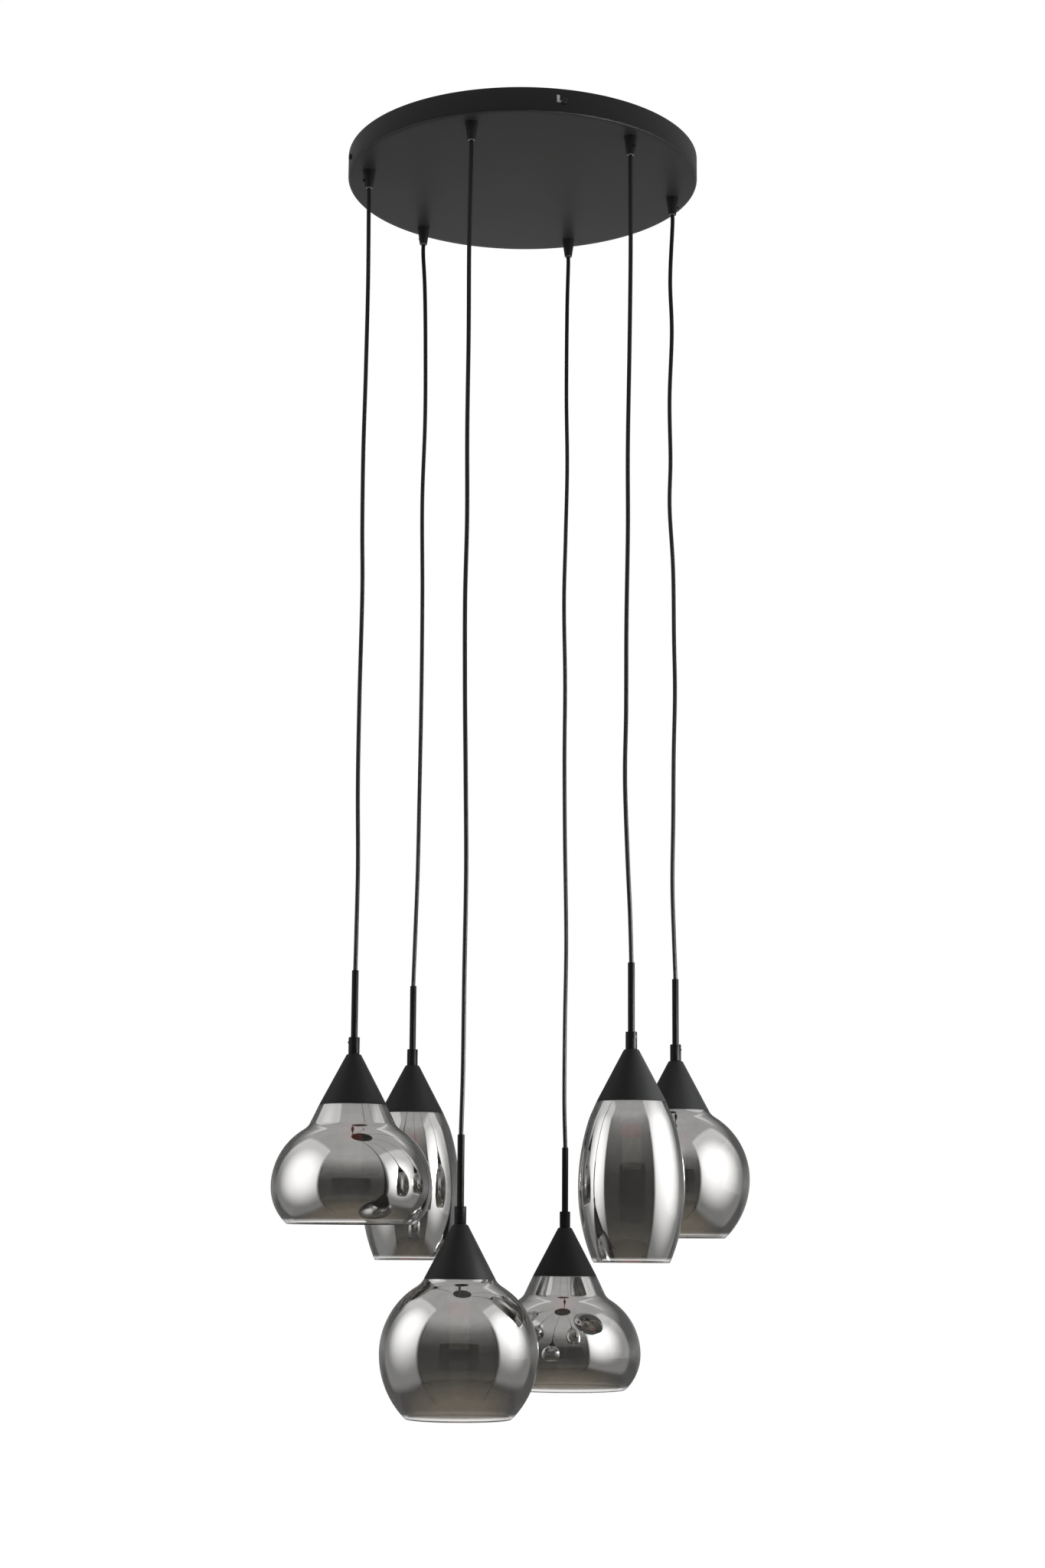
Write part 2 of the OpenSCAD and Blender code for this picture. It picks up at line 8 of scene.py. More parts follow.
import logging
import math
from dataclasses import dataclass
from enum import Enum
from typing import Any, Callable, Optional, Sequence, Union

import bmesh
import bpy
from mathutils import Matrix, Vector

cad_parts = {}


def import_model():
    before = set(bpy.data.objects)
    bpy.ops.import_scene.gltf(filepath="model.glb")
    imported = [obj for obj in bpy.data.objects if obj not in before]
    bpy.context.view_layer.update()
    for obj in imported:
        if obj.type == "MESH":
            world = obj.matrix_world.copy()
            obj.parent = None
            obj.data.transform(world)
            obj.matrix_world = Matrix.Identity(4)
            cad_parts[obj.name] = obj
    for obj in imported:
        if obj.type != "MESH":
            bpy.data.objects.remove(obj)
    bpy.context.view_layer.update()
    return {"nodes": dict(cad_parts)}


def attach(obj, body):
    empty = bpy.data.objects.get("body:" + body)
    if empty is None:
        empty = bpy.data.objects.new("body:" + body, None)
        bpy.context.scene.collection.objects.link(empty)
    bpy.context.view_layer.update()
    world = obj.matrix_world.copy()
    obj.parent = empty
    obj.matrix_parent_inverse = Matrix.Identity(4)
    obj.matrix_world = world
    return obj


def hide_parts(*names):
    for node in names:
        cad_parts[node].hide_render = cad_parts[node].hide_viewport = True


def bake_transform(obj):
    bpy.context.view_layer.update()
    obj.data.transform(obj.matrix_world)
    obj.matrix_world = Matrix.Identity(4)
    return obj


LOG = logging.getLogger("pendant_light")

Point = tuple[float, float]
Corner = tuple[float, float, float]
Place = tuple[float, float, float]
Colour = tuple[float, float, float]
Tones = tuple[tuple[float, Colour], ...]

# Points nearer to each other than this, in metres, count as one.
WELD = 0.000002
# Room between a stud, screw or rod and its hole, on the radius, in metres.
PLAY = 0.00005
# Turn that lays an upright piece outwards, along +X.
OUTWARDS = (0.0, math.pi / 2, 0.0)


class Shape(Enum):
    """Forms of a glass shade."""

    GLOBE = "globe"
    ONION = "onion"
    TALL = "tall"


class Level(Enum):
    """Distances from the ceiling to the base of a cone cap."""

    HIGH = 1.353
    LOW = 1.578


@dataclass(frozen=True)
class Pendant:
    """One pendant: its number, shade, level, and the waves of its cord in millimetres.

    Each wave is a sideways offset, an offset away from the viewer, and a height.
    """

    number: int
    shape: Shape
    level: Level
    waves: tuple[tuple[float, float, float], ...]


PENDANTS: tuple[Pendant, ...] = (
    Pendant(1, Shape.ONION, Level.HIGH, (
        (1, 0, -200), (0, 1, -330), (-1.5, 0, -450), (-1, -1, -560), (0.5, 0, -650), (-1, 1, -800),
        (-1, 0, -920), (1, 0, -1030), (0.5, 0, -1120))),
    Pendant(2, Shape.GLOBE, Level.LOW, (
        (-1.5, 0, -200), (-1, 1, -340), (-1.5, 0, -470), (-0.5, -1, -590), (-2, 0, -700), (-1, 1, -820),
        (1, 0, -930), (3, -1, -1060), (2, 0, -1200), (1.5, 0, -1320))),
    Pendant(3, Shape.TALL, Level.HIGH, (
        (0, 0, -200), (-1.5, 1, -330), (-4, 0, -480), (-4, -1, -590), (-6, 0, -720), (-6.5, 1, -840),
        (-8, 0, -930), (-5, -1, -1030), (-1.5, 0, -1110))),
    Pendant(4, Shape.GLOBE, Level.HIGH, (
        (-3.5, 0, -160), (-1.5, 0, -240), (-5, 1, -340), (-4, 0, -430), (-5.5, 0, -500), (-1, -1, -590),
        (0, 0, -690), (1, 0, -770), (-1, 1, -860), (-2, 0, -950), (-3.5, 0, -1040), (-1.5, 0, -1120))),
    Pendant(5, Shape.ONION, Level.LOW, (
        (-1.5, 0, -150), (-2, 1, -280), (-0.5, 0, -390), (-2.5, 0, -500), (-4.5, -1, -600), (-2.5, 0, -720),
        (-3, 0, -830), (-2, 0, -950), (0.5, 1, -1100), (-1, 0, -1220), (-1.5, 0, -1330))),
    Pendant(6, Shape.TALL, Level.HIGH, (
        (3, 0, -130), (5, 0, -210), (6, 1, -330), (3.5, 0, -460), (5.5, 0, -600), (6, -1, -750),
        (5, 0, -900), (4, 0, -1010), (1.5, 0, -1110))),
)


@dataclass(frozen=True)
class Layout:
    """Places that the sub-assemblies share."""

    ring_radius: float = 0.2225
    first_angle: float = math.radians(-168)
    arm_angle: float = math.radians(13.2)
    plate_radius: float = 0.25
    plate_top: float = -0.0005
    plate_bottom: float = -0.0345
    plate_sheet: float = 0.0015
    mouth: float = -0.0605
    side_screw_z: float = -0.0177
    rod_top: float = 0.18

    @property
    def plate_floor(self) -> float:
        """Height of the face inside the plate."""
        return self.plate_bottom + self.plate_sheet

    def grip_angle(self, number: int) -> float:
        """Direction of a pendant's grip from the plate's middle, in radians."""
        return self.first_angle + (number - 1) * math.pi / 3

    def grip(self, number: int) -> Vector:
        """Place of a pendant's grip, at the ceiling's height."""
        angle = self.grip_angle(number)
        return Vector((self.ring_radius * math.cos(angle), self.ring_radius * math.sin(angle), 0.0))

    def base(self, pendant: Pendant) -> Vector:
        """Middle of the base of a pendant's cone cap."""
        return self.grip(pendant.number) - Vector((0.0, 0.0, pendant.level.value))


def filleted(corners: Sequence[Corner], closed: bool = True, steps: int = 4) -> list[Point]:
    """Rounds the corners of a line.

    Args:
        corners: Radius, height and fillet radius of each corner.
        closed: Whether the line returns to its start. The ends of an open line stay sharp.
        steps: Straight pieces in a fillet.

    Returns:
        The points of the rounded line.
    """
    points: list[Point] = []
    count = len(corners)
    for k, (r, z, fillet) in enumerate(corners):
        here = Vector((r, z))
        if fillet <= 0 or (not closed and k in (0, count - 1)):
            points.append((r, z))
            continue
        back = Vector(corners[k - 1][:2]) - here
        ahead = Vector(corners[(k + 1) % count][:2]) - here
        half = back.angle(ahead) / 2
        reach = min(fillet / math.tan(half), back.length * 0.49, ahead.length * 0.49)
        radius = reach * math.tan(half)
        centre = here + (back.normalized() + ahead.normalized()).normalized() * (radius / math.sin(half))
        start = here + back.normalized() * reach - centre
        end = here + ahead.normalized() * reach - centre
        sweep = start.angle_signed(end)
        for step in range(steps + 1):
            turn = Matrix.Rotation(-sweep * step / steps, 2)
            spot = centre + turn @ start
            points.append((spot.x, spot.y))
    return points


class Bench:
    """The modelling operators that the pieces are made with."""

    @staticmethod
    def clear() -> None:
        """Leaves edit mode and selects nothing."""
        active = bpy.context.view_layer.objects.active
        if active is not None and active.mode != "OBJECT":
            bpy.ops.object.mode_set(mode="OBJECT")
        bpy.ops.object.select_all(action="DESELECT")

    @staticmethod
    def take(piece: bpy.types.Object) -> None:
        """Selects one piece alone and makes it the active one.

        Args:
            piece: The piece.
        """
        Bench.clear()
        piece.select_set(True)
        bpy.context.view_layer.objects.active = piece

    @staticmethod
    def edit(piece: bpy.types.Object) -> None:
        """Opens a piece in edit mode, with all of it selected.

        Args:
            piece: The piece.
        """
        Bench.take(piece)
        bpy.ops.object.mode_set(mode="EDIT")
        bpy.ops.mesh.select_all(action="SELECT")

    @staticmethod
    def named(name: str) -> bpy.types.Object:
        """Names the active object, and puts its place into its mesh.

        Args:
            name: Name of the object and of its mesh.

        Returns:
            The object.
        """
        piece = bpy.context.view_layer.objects.active
        piece.name = name
        piece.data.name = name
        bpy.ops.object.transform_apply(location=True, rotation=True, scale=True)
        return piece

    @staticmethod
    def pick(piece: bpy.types.Object, wanted: Callable[[bmesh.types.BMFace], bool]) -> None:
        """Selects faces of a piece that is in edit mode.

        Args:
            piece: The piece in edit mode.
            wanted: Says of a face whether it is selected.
        """
        bpy.ops.mesh.select_mode(type="FACE")
        bpy.ops.mesh.select_all(action="DESELECT")
        shape = bmesh.from_edit_mesh(piece.data)
        for face in shape.faces:
            face.select_set(wanted(face))
        shape.select_flush_mode()
        bmesh.update_edit_mesh(piece.data)

    @staticmethod
    def smooth(piece: bpy.types.Object, degrees: float = 30) -> None:
        """Shades a piece smooth, apart from edges sharper than an angle."""
        Bench.take(piece)
        bpy.ops.object.shade_smooth_by_angle(angle=math.radians(degrees))

    @staticmethod
    def welded(piece: bpy.types.Object, degrees: float) -> None:
        """Merges the doubles of a piece, turns its faces outwards and shades it smooth.

        Args:
            piece: The piece, in edit mode.
            degrees: Angle above which an edge stays sharp.
        """
        bpy.ops.mesh.select_all(action="SELECT")
        bpy.ops.mesh.remove_doubles(threshold=WELD)
        bpy.ops.mesh.normals_make_consistent(inside=False)
        Bench.smooth(piece, degrees)

    @staticmethod
    def turned(name: str, line: Sequence[Point], steps: int, closed: bool = True,
               degrees: float = 32) -> bpy.types.Object:
        """Draws a line point by point, and spins it round the upright axis.

        Args:
            name: Name of the piece.
            line: Radius and height of each point.
            steps: Steps of the spin.
            closed: Whether the line returns to its start. An open line starts and ends on the axis.
            degrees: Angle above which an edge stays sharp.

        Returns:
            The turned piece, about the world's upright axis.
        """
        Bench.clear()
        radius, height = line[0]
        bpy.ops.mesh.primitive_plane_add(size=0.001, location=(radius, 0, height))
        piece = Bench.named(name)
        bpy.ops.object.mode_set(mode="EDIT")
        bpy.ops.mesh.select_mode(type="VERT")
        bpy.ops.mesh.select_all(action="SELECT")
        bpy.ops.mesh.merge(type="CENTER")
        for before, after in zip(line, line[1:]):
            step = (after[0] - before[0], 0.0, after[1] - before[1])
            bpy.ops.mesh.extrude_region_move(TRANSFORM_OT_translate={"value": step})
        if closed:
            bpy.ops.mesh.select_all(action="DESELECT")
            shape = bmesh.from_edit_mesh(piece.data)
            shape.verts.ensure_lookup_table()
            shape.verts[0].select_set(True)
            shape.verts[len(line) - 1].select_set(True)
            bmesh.update_edit_mesh(piece.data)
            bpy.ops.mesh.edge_face_add()
        bpy.ops.mesh.select_all(action="SELECT")
        bpy.ops.mesh.spin(steps=steps, angle=math.tau, center=(0, 0, 0), axis=(0, 0, 1))
        Bench.welded(piece, degrees)
        return piece

    @staticmethod
    def copied(piece: bpy.types.Object, name: str, at: Vector, turn: float = 0.0) -> bpy.types.Object:
        """A copy with its own mesh, turned about the upright axis and then moved.

        Args:
            piece: The piece that is copied.
            name: Name of the copy.
            at: Where the copy's origin goes.
            turn: Turn about the upright axis, in radians.

        Returns:
            The copy, with its place in its mesh.
        """
        Bench.take(piece)
        bpy.ops.object.duplicate(linked=False)
        twin = bpy.context.view_layer.objects.active
        twin.rotation_euler = (0.0, 0.0, turn)
        twin.location = at
        return Bench.named(name)

    @staticmethod
    def joined(name: str, pieces: Sequence[bpy.types.Object]) -> bpy.types.Object:
        """Joins several pieces into the first one.

        Args:
            name: Name of the whole.
            pieces: The pieces.

        Returns:
            The whole.
        """
        Bench.take(pieces[0])
        for piece in pieces[1:]:
            piece.select_set(True)
        bpy.ops.object.join()
        return Bench.named(name)

    @staticmethod
    def combined(piece: bpy.types.Object, tool: bpy.types.Object, operation: str) -> None:
        """Adds another piece to one, cuts it out, or keeps what both share. The other one is used up.

        Args:
            piece: The piece that is changed.
            tool: The other piece.
            operation: UNION, DIFFERENCE or INTERSECT.
        """
        Bench.take(piece)
        change = piece.modifiers.new("combined", "BOOLEAN")
        change.operation = operation
        change.solver = "EXACT"
        change.object = tool
        bpy.ops.object.modifier_apply(modifier=change.name)
        Bench.drop(tool)

    @staticmethod
    def cut(piece: bpy.types.Object, tool: bpy.types.Object) -> None:
        """Cuts one piece with another, which is used up."""
        Bench.combined(piece, tool, "DIFFERENCE")
        Bench.mended(piece)

    @staticmethod
    def mended(piece: bpy.types.Object) -> None:
        """Joins points that a cut or bevel left on each other.

        Args:
            piece: The piece that was cut or bevelled.
        """
        Bench.edit(piece)
        bpy.ops.mesh.remove_doubles(threshold=WELD)
        bpy.ops.mesh.dissolve_degenerate(threshold=WELD)
        bpy.ops.object.mode_set(mode="OBJECT")

    @staticmethod
    def bevelled(piece: bpy.types.Object, width: float, segments: int = 2, degrees: float = 35) -> None:
        """Rounds the sharp edges of a piece, and shades it smooth.

        Args:
            piece: The piece.
            width: Width of the rounded edges, in metres.
            segments: Faces across an edge.
            degrees: Angle above which an edge is rounded.
        """
        Bench.take(piece)
        bevel = piece.modifiers.new("edges", "BEVEL")
        bevel.width = width
        bevel.segments = segments
        bevel.limit_method = "ANGLE"
        bevel.angle_limit = math.radians(degrees)
        bpy.ops.object.modifier_apply(modifier=bevel.name)
        Bench.mended(piece)
        Bench.smooth(piece, degrees)

    @staticmethod
    def laid(piece: bpy.types.Object, name: str, height: float) -> bpy.types.Object:
        """Lays an upright piece outwards, along +X.

        Args:
            piece: The piece, on the upright axis.
            name: Name of the piece.
            height: Height at which it lies.

        Returns:
            The piece.
        """
        piece.rotation_euler = OUTWARDS
        piece.location = (0, 0, height)
        Bench.take(piece)
        Bench.named(name)
        Bench.smooth(piece)
        return piece

    @staticmethod
    def tube(name: str, radius: float) -> bpy.types.Object:
        """Makes the active curve a closed tube.

        Args:
            name: Name of the tube.
            radius: Its radius.

        Returns:
            The tube.
        """
        curve = bpy.context.view_layer.objects.active.data
        curve.bevel_depth = radius
        curve.bevel_resolution = 5
        curve.use_fill_caps = True
        bpy.ops.object.convert(target="MESH")
        tube = Bench.named(name)
        Bench.edit(tube)
        Bench.welded(tube, 60)
        return tube

    @staticmethod
    def drop(piece: bpy.types.Object) -> None:
        """Deletes a piece and its mesh.

        Args:
            piece: The piece.
        """
        mesh = piece.data
        bpy.data.objects.remove(piece, do_unlink=True)
        bpy.data.meshes.remove(mesh)

    @staticmethod
    def box(name: str, size: Sequence[float], at: Sequence[float]) -> bpy.types.Object:
        """Adds a box as the start of a piece.

        Args:
            name: Name of the piece.
            size: Its size along each axis.
            at: Its middle.

        Returns:
            The piece.
        """
        Bench.clear()
        bpy.ops.mesh.primitive_cube_add(size=1, location=at, scale=size)
        return Bench.named(name)

    @staticmethod
    def drum(name: str, radius: float, height: float, at: Sequence[float], sides: int = 32,
             lying: bool = False) -> bpy.types.Object:
        """Adds a drum as the start of a piece.

        Args:
            name: Name of the piece.
            radius: Its radius.
            height: Its length along its own axis.
            at: Its middle.
            sides: Flat faces round it.
            lying: Whether it lies along X instead of standing upright.

        Returns:
            The piece.
        """
        turn = OUTWARDS if lying else (0, 0, 0)
        Bench.clear()
        bpy.ops.mesh.primitive_cylinder_add(
            vertices=sides, radius=radius, depth=height, location=at, rotation=turn)
        return Bench.named(name)

    @staticmethod
    def refined(node: bpy.types.Object, name: str, width: float) -> bpy.types.Object:
        """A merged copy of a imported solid's mesh, with its faces made whole and its edges rounded.

        Args:
            node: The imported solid's object.
            name: Name of the copy.
            width: Width of the rounded edges, in metres.

        Returns:
            The copy, which then stands for the solid.
        """
        Bench.clear()
        twin = bpy.data.objects.new(name, node.data.copy())
        bpy.context.scene.collection.objects.link(twin)
        twin.data.name = name
        Bench.edit(twin)
        bpy.ops.mesh.remove_doubles(threshold=0.000005)
        bpy.ops.mesh.dissolve_limited(angle_limit=math.radians(1))
        bpy.ops.object.mode_set(mode="OBJECT")
        Bench.bevelled(twin, width)
        return twin


class Field:
    """A number that varies over a surface: a node socket that takes part in Python expressions."""

    def __init__(self, shader: "Shader", socket: bpy.types.NodeSocket) -> None:
        """Wraps a socket of a shader's node."""
        self.shader = shader
        self.socket = socket

    def _math(self, operation: str, first: Any, second: Any = 0.0) -> "Field":
        """Adds one Math node on two values or fields."""
        made = self.shader.node("ShaderNodeMath", {"operation": operation}, {0: first, 1: second})
        return Field(self.shader, made.outputs[0])

    def __add__(self, other: Union["Field", float]) -> "Field":
        """Sum."""
        return self._math("ADD", self, other)

    __radd__ = __add__

    def __sub__(self, other: Union["Field", float]) -> "Field":
        """Difference."""
        return self._math("SUBTRACT", self, other)

    def __rsub__(self, other: float) -> "Field":
        """Difference from a number."""
        return self._math("SUBTRACT", other, self)

    def __mul__(self, other: Union["Field", float]) -> "Field":
        """Product."""
        return self._math("MULTIPLY", self, other)

    __rmul__ = __mul__

    def __abs__(self) -> "Field":
        """Distance from zero."""
        return self._math("ABSOLUTE", self)

    def root(self) -> "Field":
        """Square root."""
        return self._math("SQRT", self)

    def between(self, low: float, high: float) -> "Field":
        """Rises smoothly from 0 to 1, or falls where low is above high.

        Args:
            low: Value at which the result is 0.
            high: Value at which it is 1.

        Returns:
            The result.
        """
        made = self.shader.node(
            "ShaderNodeMapRange", {"interpolation_type": "SMOOTHSTEP"},
            {"Value": self, "From Min": low, "From Max": high})
        return Field(self.shader, made.outputs["Result"])


class Shader:
    """The nodes of one material or world."""

    def __init__(self, owner: Union[bpy.types.Material, bpy.types.World]) -> None:
        """Starts an empty node tree.

        Args:
            owner: The material or world that the tree belongs to.
        """
        owner.use_nodes = True
        self.tree = owner.node_tree
        self.tree.nodes.clear()
        self._place: Optional[bpy.types.NodeSocket] = None

    @classmethod
    def of_material(cls, name: str) -> tuple["Shader", bpy.types.Material]:
        """A new material with that name, and its shader."""
        material = bpy.data.materials.new(name)
        return cls(material), material

    def node(self, kind: str, settings: Optional[dict[str, Any]] = None,
             values: Optional[dict[Union[str, int], Any]] = None) -> bpy.types.Node:
        """Adds one node.

        Args:
            kind: The node's type.
            settings: Its settings, such as a Math node's operation, or the stops of a ramp.
            values: What each of its input sockets holds: a value, a socket or a field.

        Returns:
            The node.
        """
        made = self.tree.nodes.new(kind)
        for key, value in (settings or {}).items():
            if key == "stops":
                while len(made.color_ramp.elements) < len(value):
                    made.color_ramp.elements.new(1.0)
                for stop, (where, colour) in zip(made.color_ramp.elements, value):
                    stop.position = where
                    stop.color = (*colour, 1.0)
            else:
                setattr(made, key, value)
        for key, value in (values or {}).items():
            source = value.socket if isinstance(value, Field) else value
            if isinstance(source, bpy.types.NodeSocket):
                self.tree.links.new(source, made.inputs[key])
            else:
                made.inputs[key].default_value = source
        return made

    @property
    def place(self) -> bpy.types.NodeSocket:
        """Where a point lies on the object.

        Returns:
            The place's socket.
        """
        if self._place is None:
            self._place = self.node("ShaderNodeTexCoord").outputs["Object"]
        return self._place

    def stretched(self, scale: Sequence[float]) -> bpy.types.NodeSocket:
        """The place on the object, stretched along each axis."""
        return self.node("ShaderNodeMapping", None, {"Vector": self.place, "Scale": scale}).outputs["Vector"]

    def axes(self, source: Optional[bpy.types.NodeSocket] = None) -> tuple[Field, ...]:
        """The three numbers of a vector, by default of the place on the object."""
        parts = self.node("ShaderNodeSeparateXYZ", None, {0: source or self.place})
        return tuple(Field(self, parts.outputs[k]) for k in range(3))

    def noise(self, scale: float, detail: float = 2.0, roughness: float = 0.5,
              place: Optional[bpy.types.NodeSocket] = None) -> Field:
        """Soft noise from 0 to 1.

        Args:
            scale: Waves per metre.
            detail: How many finer layers it has.
            roughness: How strong the finer layers are.
            place: Where it is read, by default at the place on the object.

        Returns:
            The noise.
        """
        made = self.node(
            "ShaderNodeTexNoise", None,
            {"Vector": place or self.place, "Scale": scale, "Detail": detail, "Roughness": roughness})
        return Field(self, made.outputs[0])

    def mixed(self, first: Any, second: Any, share: Field) -> bpy.types.NodeSocket:
        """A colour between two.

        Args:
            first: The colour, with alpha, or its socket, where the share is 0.
            second: The colour, with alpha, or its socket, where the share is 1.
            share: The share of the second colour.

        Returns:
            The colour's socket.
        """
        made = self.node("ShaderNodeMix", {"data_type": "RGBA"}, {"Factor": share, 6: first, 7: second})
        return made.outputs[2]

    def shaded(self, colour: Colour, shades: Point, share: Field) -> bpy.types.NodeSocket:
        """A colour that drifts between two shades of itself.

        Args:
            colour: The colour.
            shades: What the colour is multiplied by where the share is 0 and where it is 1.
            share: How far it is towards the second shade.

        Returns:
            The colour's socket.
        """
        first, second = ((*(min(1.0, part * shade) for part in colour), 1.0) for shade in shades)
        return self.mixed(first, second, share)

    def grey(self, value: Field) -> bpy.types.NodeSocket:
        """A colour with the same number in red, green and blue."""
        return self.node("ShaderNodeCombineXYZ", None, {0: value, 1: value, 2: value}).outputs[0]

    def bump(self, height: Field, depth: float, strength: float = 0.4) -> bpy.types.NodeSocket:
        """Surface normals of a height field, with a depth in metres."""
        made = self.node("ShaderNodeBump", None, {"Height": height, "Distance": depth, "Strength": strength})
        return made.outputs["Normal"]

    def glowing(self, light: Union[Field, float], share: Field) -> None:
        """Ends the tree with a white glow that fades into what lies behind it.

        Args:
            light: How bright the glow is.
            share: How much of the glow is there, from 0 where the surface is clear to 1.
        """
        clear = self.node("ShaderNodeBsdfTransparent")
        lit = {"Color": self.grey(light)} if isinstance(light, Field) else {"Strength": light}
        glow = self.node("ShaderNodeEmission", None, lit)
        seen = self.node("ShaderNodeMixShader", None, {0: share, 1: clear.outputs[0], 2: glow.outputs[0]})
        self.node("ShaderNodeOutputMaterial", None, {"Surface": seen.outputs[0]})

    def surface(self, **values: Any) -> None:
        """Ends the tree with a Principled shader.

        Args:
            **values: What its sockets hold. A name is a socket's, with _ for a space.
        """
        sockets = {key.replace("_", " "): value for key, value in values.items()}
        shader = self.node("ShaderNodeBsdfPrincipled", None, sockets)
        self.node("ShaderNodeOutputMaterial", None, {"Surface": shader.outputs[0]})


@dataclass(frozen=True)
class PowderCoat:
    """Matt black powder coat: a fine orange-peel grain and faint clouds.

    The grain is in waves per metre, and the gloss is the strength of the plain reflection.
    """

    name: str
    colour: Colour
    roughness: float
    grain: float
    gloss: float
    clouds: float = 7.0
    shades: Point = (0.86, 1.14)
    depth: float = 0.00005

    def material(self) -> bpy.types.Material:
        """Makes the coat's material.

        Returns:
            The material.
        """
        shader, made = Shader.of_material(self.name)
        clouds = shader.noise(self.clouds, 3.0)
        grain = shader.noise(self.grain, 3.0, 0.6)
        shader.surface(
            Base_Color=shader.shaded(self.colour, self.shades, clouds * 0.6 + grain * 0.4),
            Roughness=self.roughness - 0.06 + grain * 0.12,
            Specular_IOR_Level=self.gloss,
            Normal=shader.bump(grain, self.depth))
        return made


@dataclass(frozen=True)
class Moulded:
    """Moulded plastic: even colour with faint flow marks and a fine matt grain.

    Milky is the share of light that goes below the surface, and lit is the strength of a painted glow that
    makes an unlit part look lit.
    """

    name: str
    colour: Colour
    roughness: float
    milky: float = 0.0
    lit: float = 0.0
    flow: float = 40.0
    grain: float = 2500.0
    shades: Point = (0.93, 1.05)
    depth: float = 0.00002

    def material(self) -> bpy.types.Material:
        """Makes the plastic's material.

        Returns:
            The material.
        """
        shader, made = Shader.of_material(self.name)
        flow = shader.noise(self.flow)
        grain = shader.noise(self.grain, 1.0)
        shader.surface(
            Base_Color=shader.shaded(self.colour, self.shades, flow),
            Roughness=self.roughness - 0.04 + grain * 0.08,
            Subsurface_Weight=self.milky,
            Subsurface_Radius=(0.004, 0.003, 0.002),
            Subsurface_Scale=0.5,
            # Painted glow: the part shines in its own colour by the lit strength, though it is no lamp.
            Emission_Color=(*self.colour, 1.0),
            Emission_Strength=self.lit,
            Normal=shader.bump(grain, self.depth))
        return made


@dataclass(frozen=True)
class CordSheath:
    """Smooth black flex sheath with a slight waviness along it."""

    name: str
    colour: Colour
    roughness: float = 0.5
    gloss: float = 0.35
    waves: float = 9.0
    grain: float = 2500.0
    shades: Point = (0.85, 1.2)
    depth: float = 0.00001

    def material(self) -> bpy.types.Material:
        """Makes the sheath's material.

        Returns:
            The material.
        """
        shader, made = Shader.of_material(self.name)
        along = shader.noise(self.waves)
        grain = shader.noise(self.grain, 1.0)
        shader.surface(
            Base_Color=shader.shaded(self.colour, self.shades, along),
            Roughness=self.roughness - 0.04 + along * 0.08,
            Specular_IOR_Level=self.gloss,
            Normal=shader.bump(grain, self.depth, 0.15))
        return made


@dataclass(frozen=True)
class Plated:
    """Plated or bare metal with fine brush lines and cloudy patches."""

    name: str
    colour: Colour
    roughness: float
    patches: float = 120.0
    lines: float = 500.0
    stretch: Place = (1.0, 1.0, 12.0)
    shades: Point = (0.78, 1.1)
    depth: float = 0.00003

    def material(self) -> bpy.types.Material:
        """Makes the metal's material.

        Returns:
            The material.
        """
        shader, made = Shader.of_material(self.name)
        patches = shader.node(
            "ShaderNodeTexVoronoi", {"feature": "F1"}, {"Vector": shader.place, "Scale": self.patches})
        parts = shader.node("ShaderNodeSeparateColor", None, {0: patches.outputs["Color"]})
        cell = Field(shader, parts.outputs[0])
        lines = shader.noise(self.lines, place=shader.stretched(self.stretch))
        shader.surface(
            Base_Color=shader.shaded(self.colour, self.shades, cell * 0.5 + lines * 0.5),
            Metallic=1.0,
            Roughness=self.roughness - 0.08 + cell * 0.1 + lines * 0.08,
            Normal=shader.bump(lines, self.depth))
        return made


@dataclass(frozen=True)
class SmokedMirrorGlass:
    """Blown glass with a thin smoky mirror coat that is a little uneven and stops short of the rim.

    The coat follows the "coat" attribute of the mesh, from 0 on the clear lip to 1 above it.
    """

    name: str
    smoke: Colour = (0.614, 0.608, 0.597)
    lip: Colour = (0.93, 0.925, 0.92)
    mirror: float = 0.69
    lip_mirror: float = 0.04
    uneven: float = 0.04
    drift: float = 14.0
    roughness: float = 0.006
    refraction: float = 1.5

    def material(self) -> bpy.types.Material:
        """Makes the glass's material.

        Returns:
            The material.
        """
        shader, made = Shader.of_material(self.name)
        drift = shader.noise(self.drift)
        coat = Field(shader, shader.node("ShaderNodeAttribute", {"attribute_name": "coat"}).outputs["Fac"])
        smoky = coat * (1 - self.uneven + drift * (self.uneven * 2))
        mirror = self.mirror - self.lip_mirror - self.uneven / 2 + drift * self.uneven
        shader.surface(
            Base_Color=shader.mixed((*self.lip, 1.0), (*self.smoke, 1.0), smoky),
            Metallic=self.lip_mirror + coat * mirror,
            Roughness=self.roughness + drift * 0.004,
            IOR=self.refraction,
            Transmission_Weight=1.0)
        return made


@dataclass(frozen=True)
class ClearPlastic:
    """Clear moulded cover with a faint haze."""

    name: str
    colour: Colour = (0.97, 0.96, 0.94)
    shades: Point = (0.97, 1.0)
    haze: float = 90.0
    roughness: float = 0.03
    refraction: float = 1.49

    def material(self) -> bpy.types.Material:
        """Makes the cover's material.

        Returns:
            The material.
        """
        shader, made = Shader.of_material(self.name)
        haze = shader.noise(self.haze)
        shader.surface(
            Base_Color=shader.shaded(self.colour, self.shades, haze),
            Roughness=self.roughness + haze * 0.04,
            IOR=self.refraction,
            Transmission_Weight=1.0)
        return made


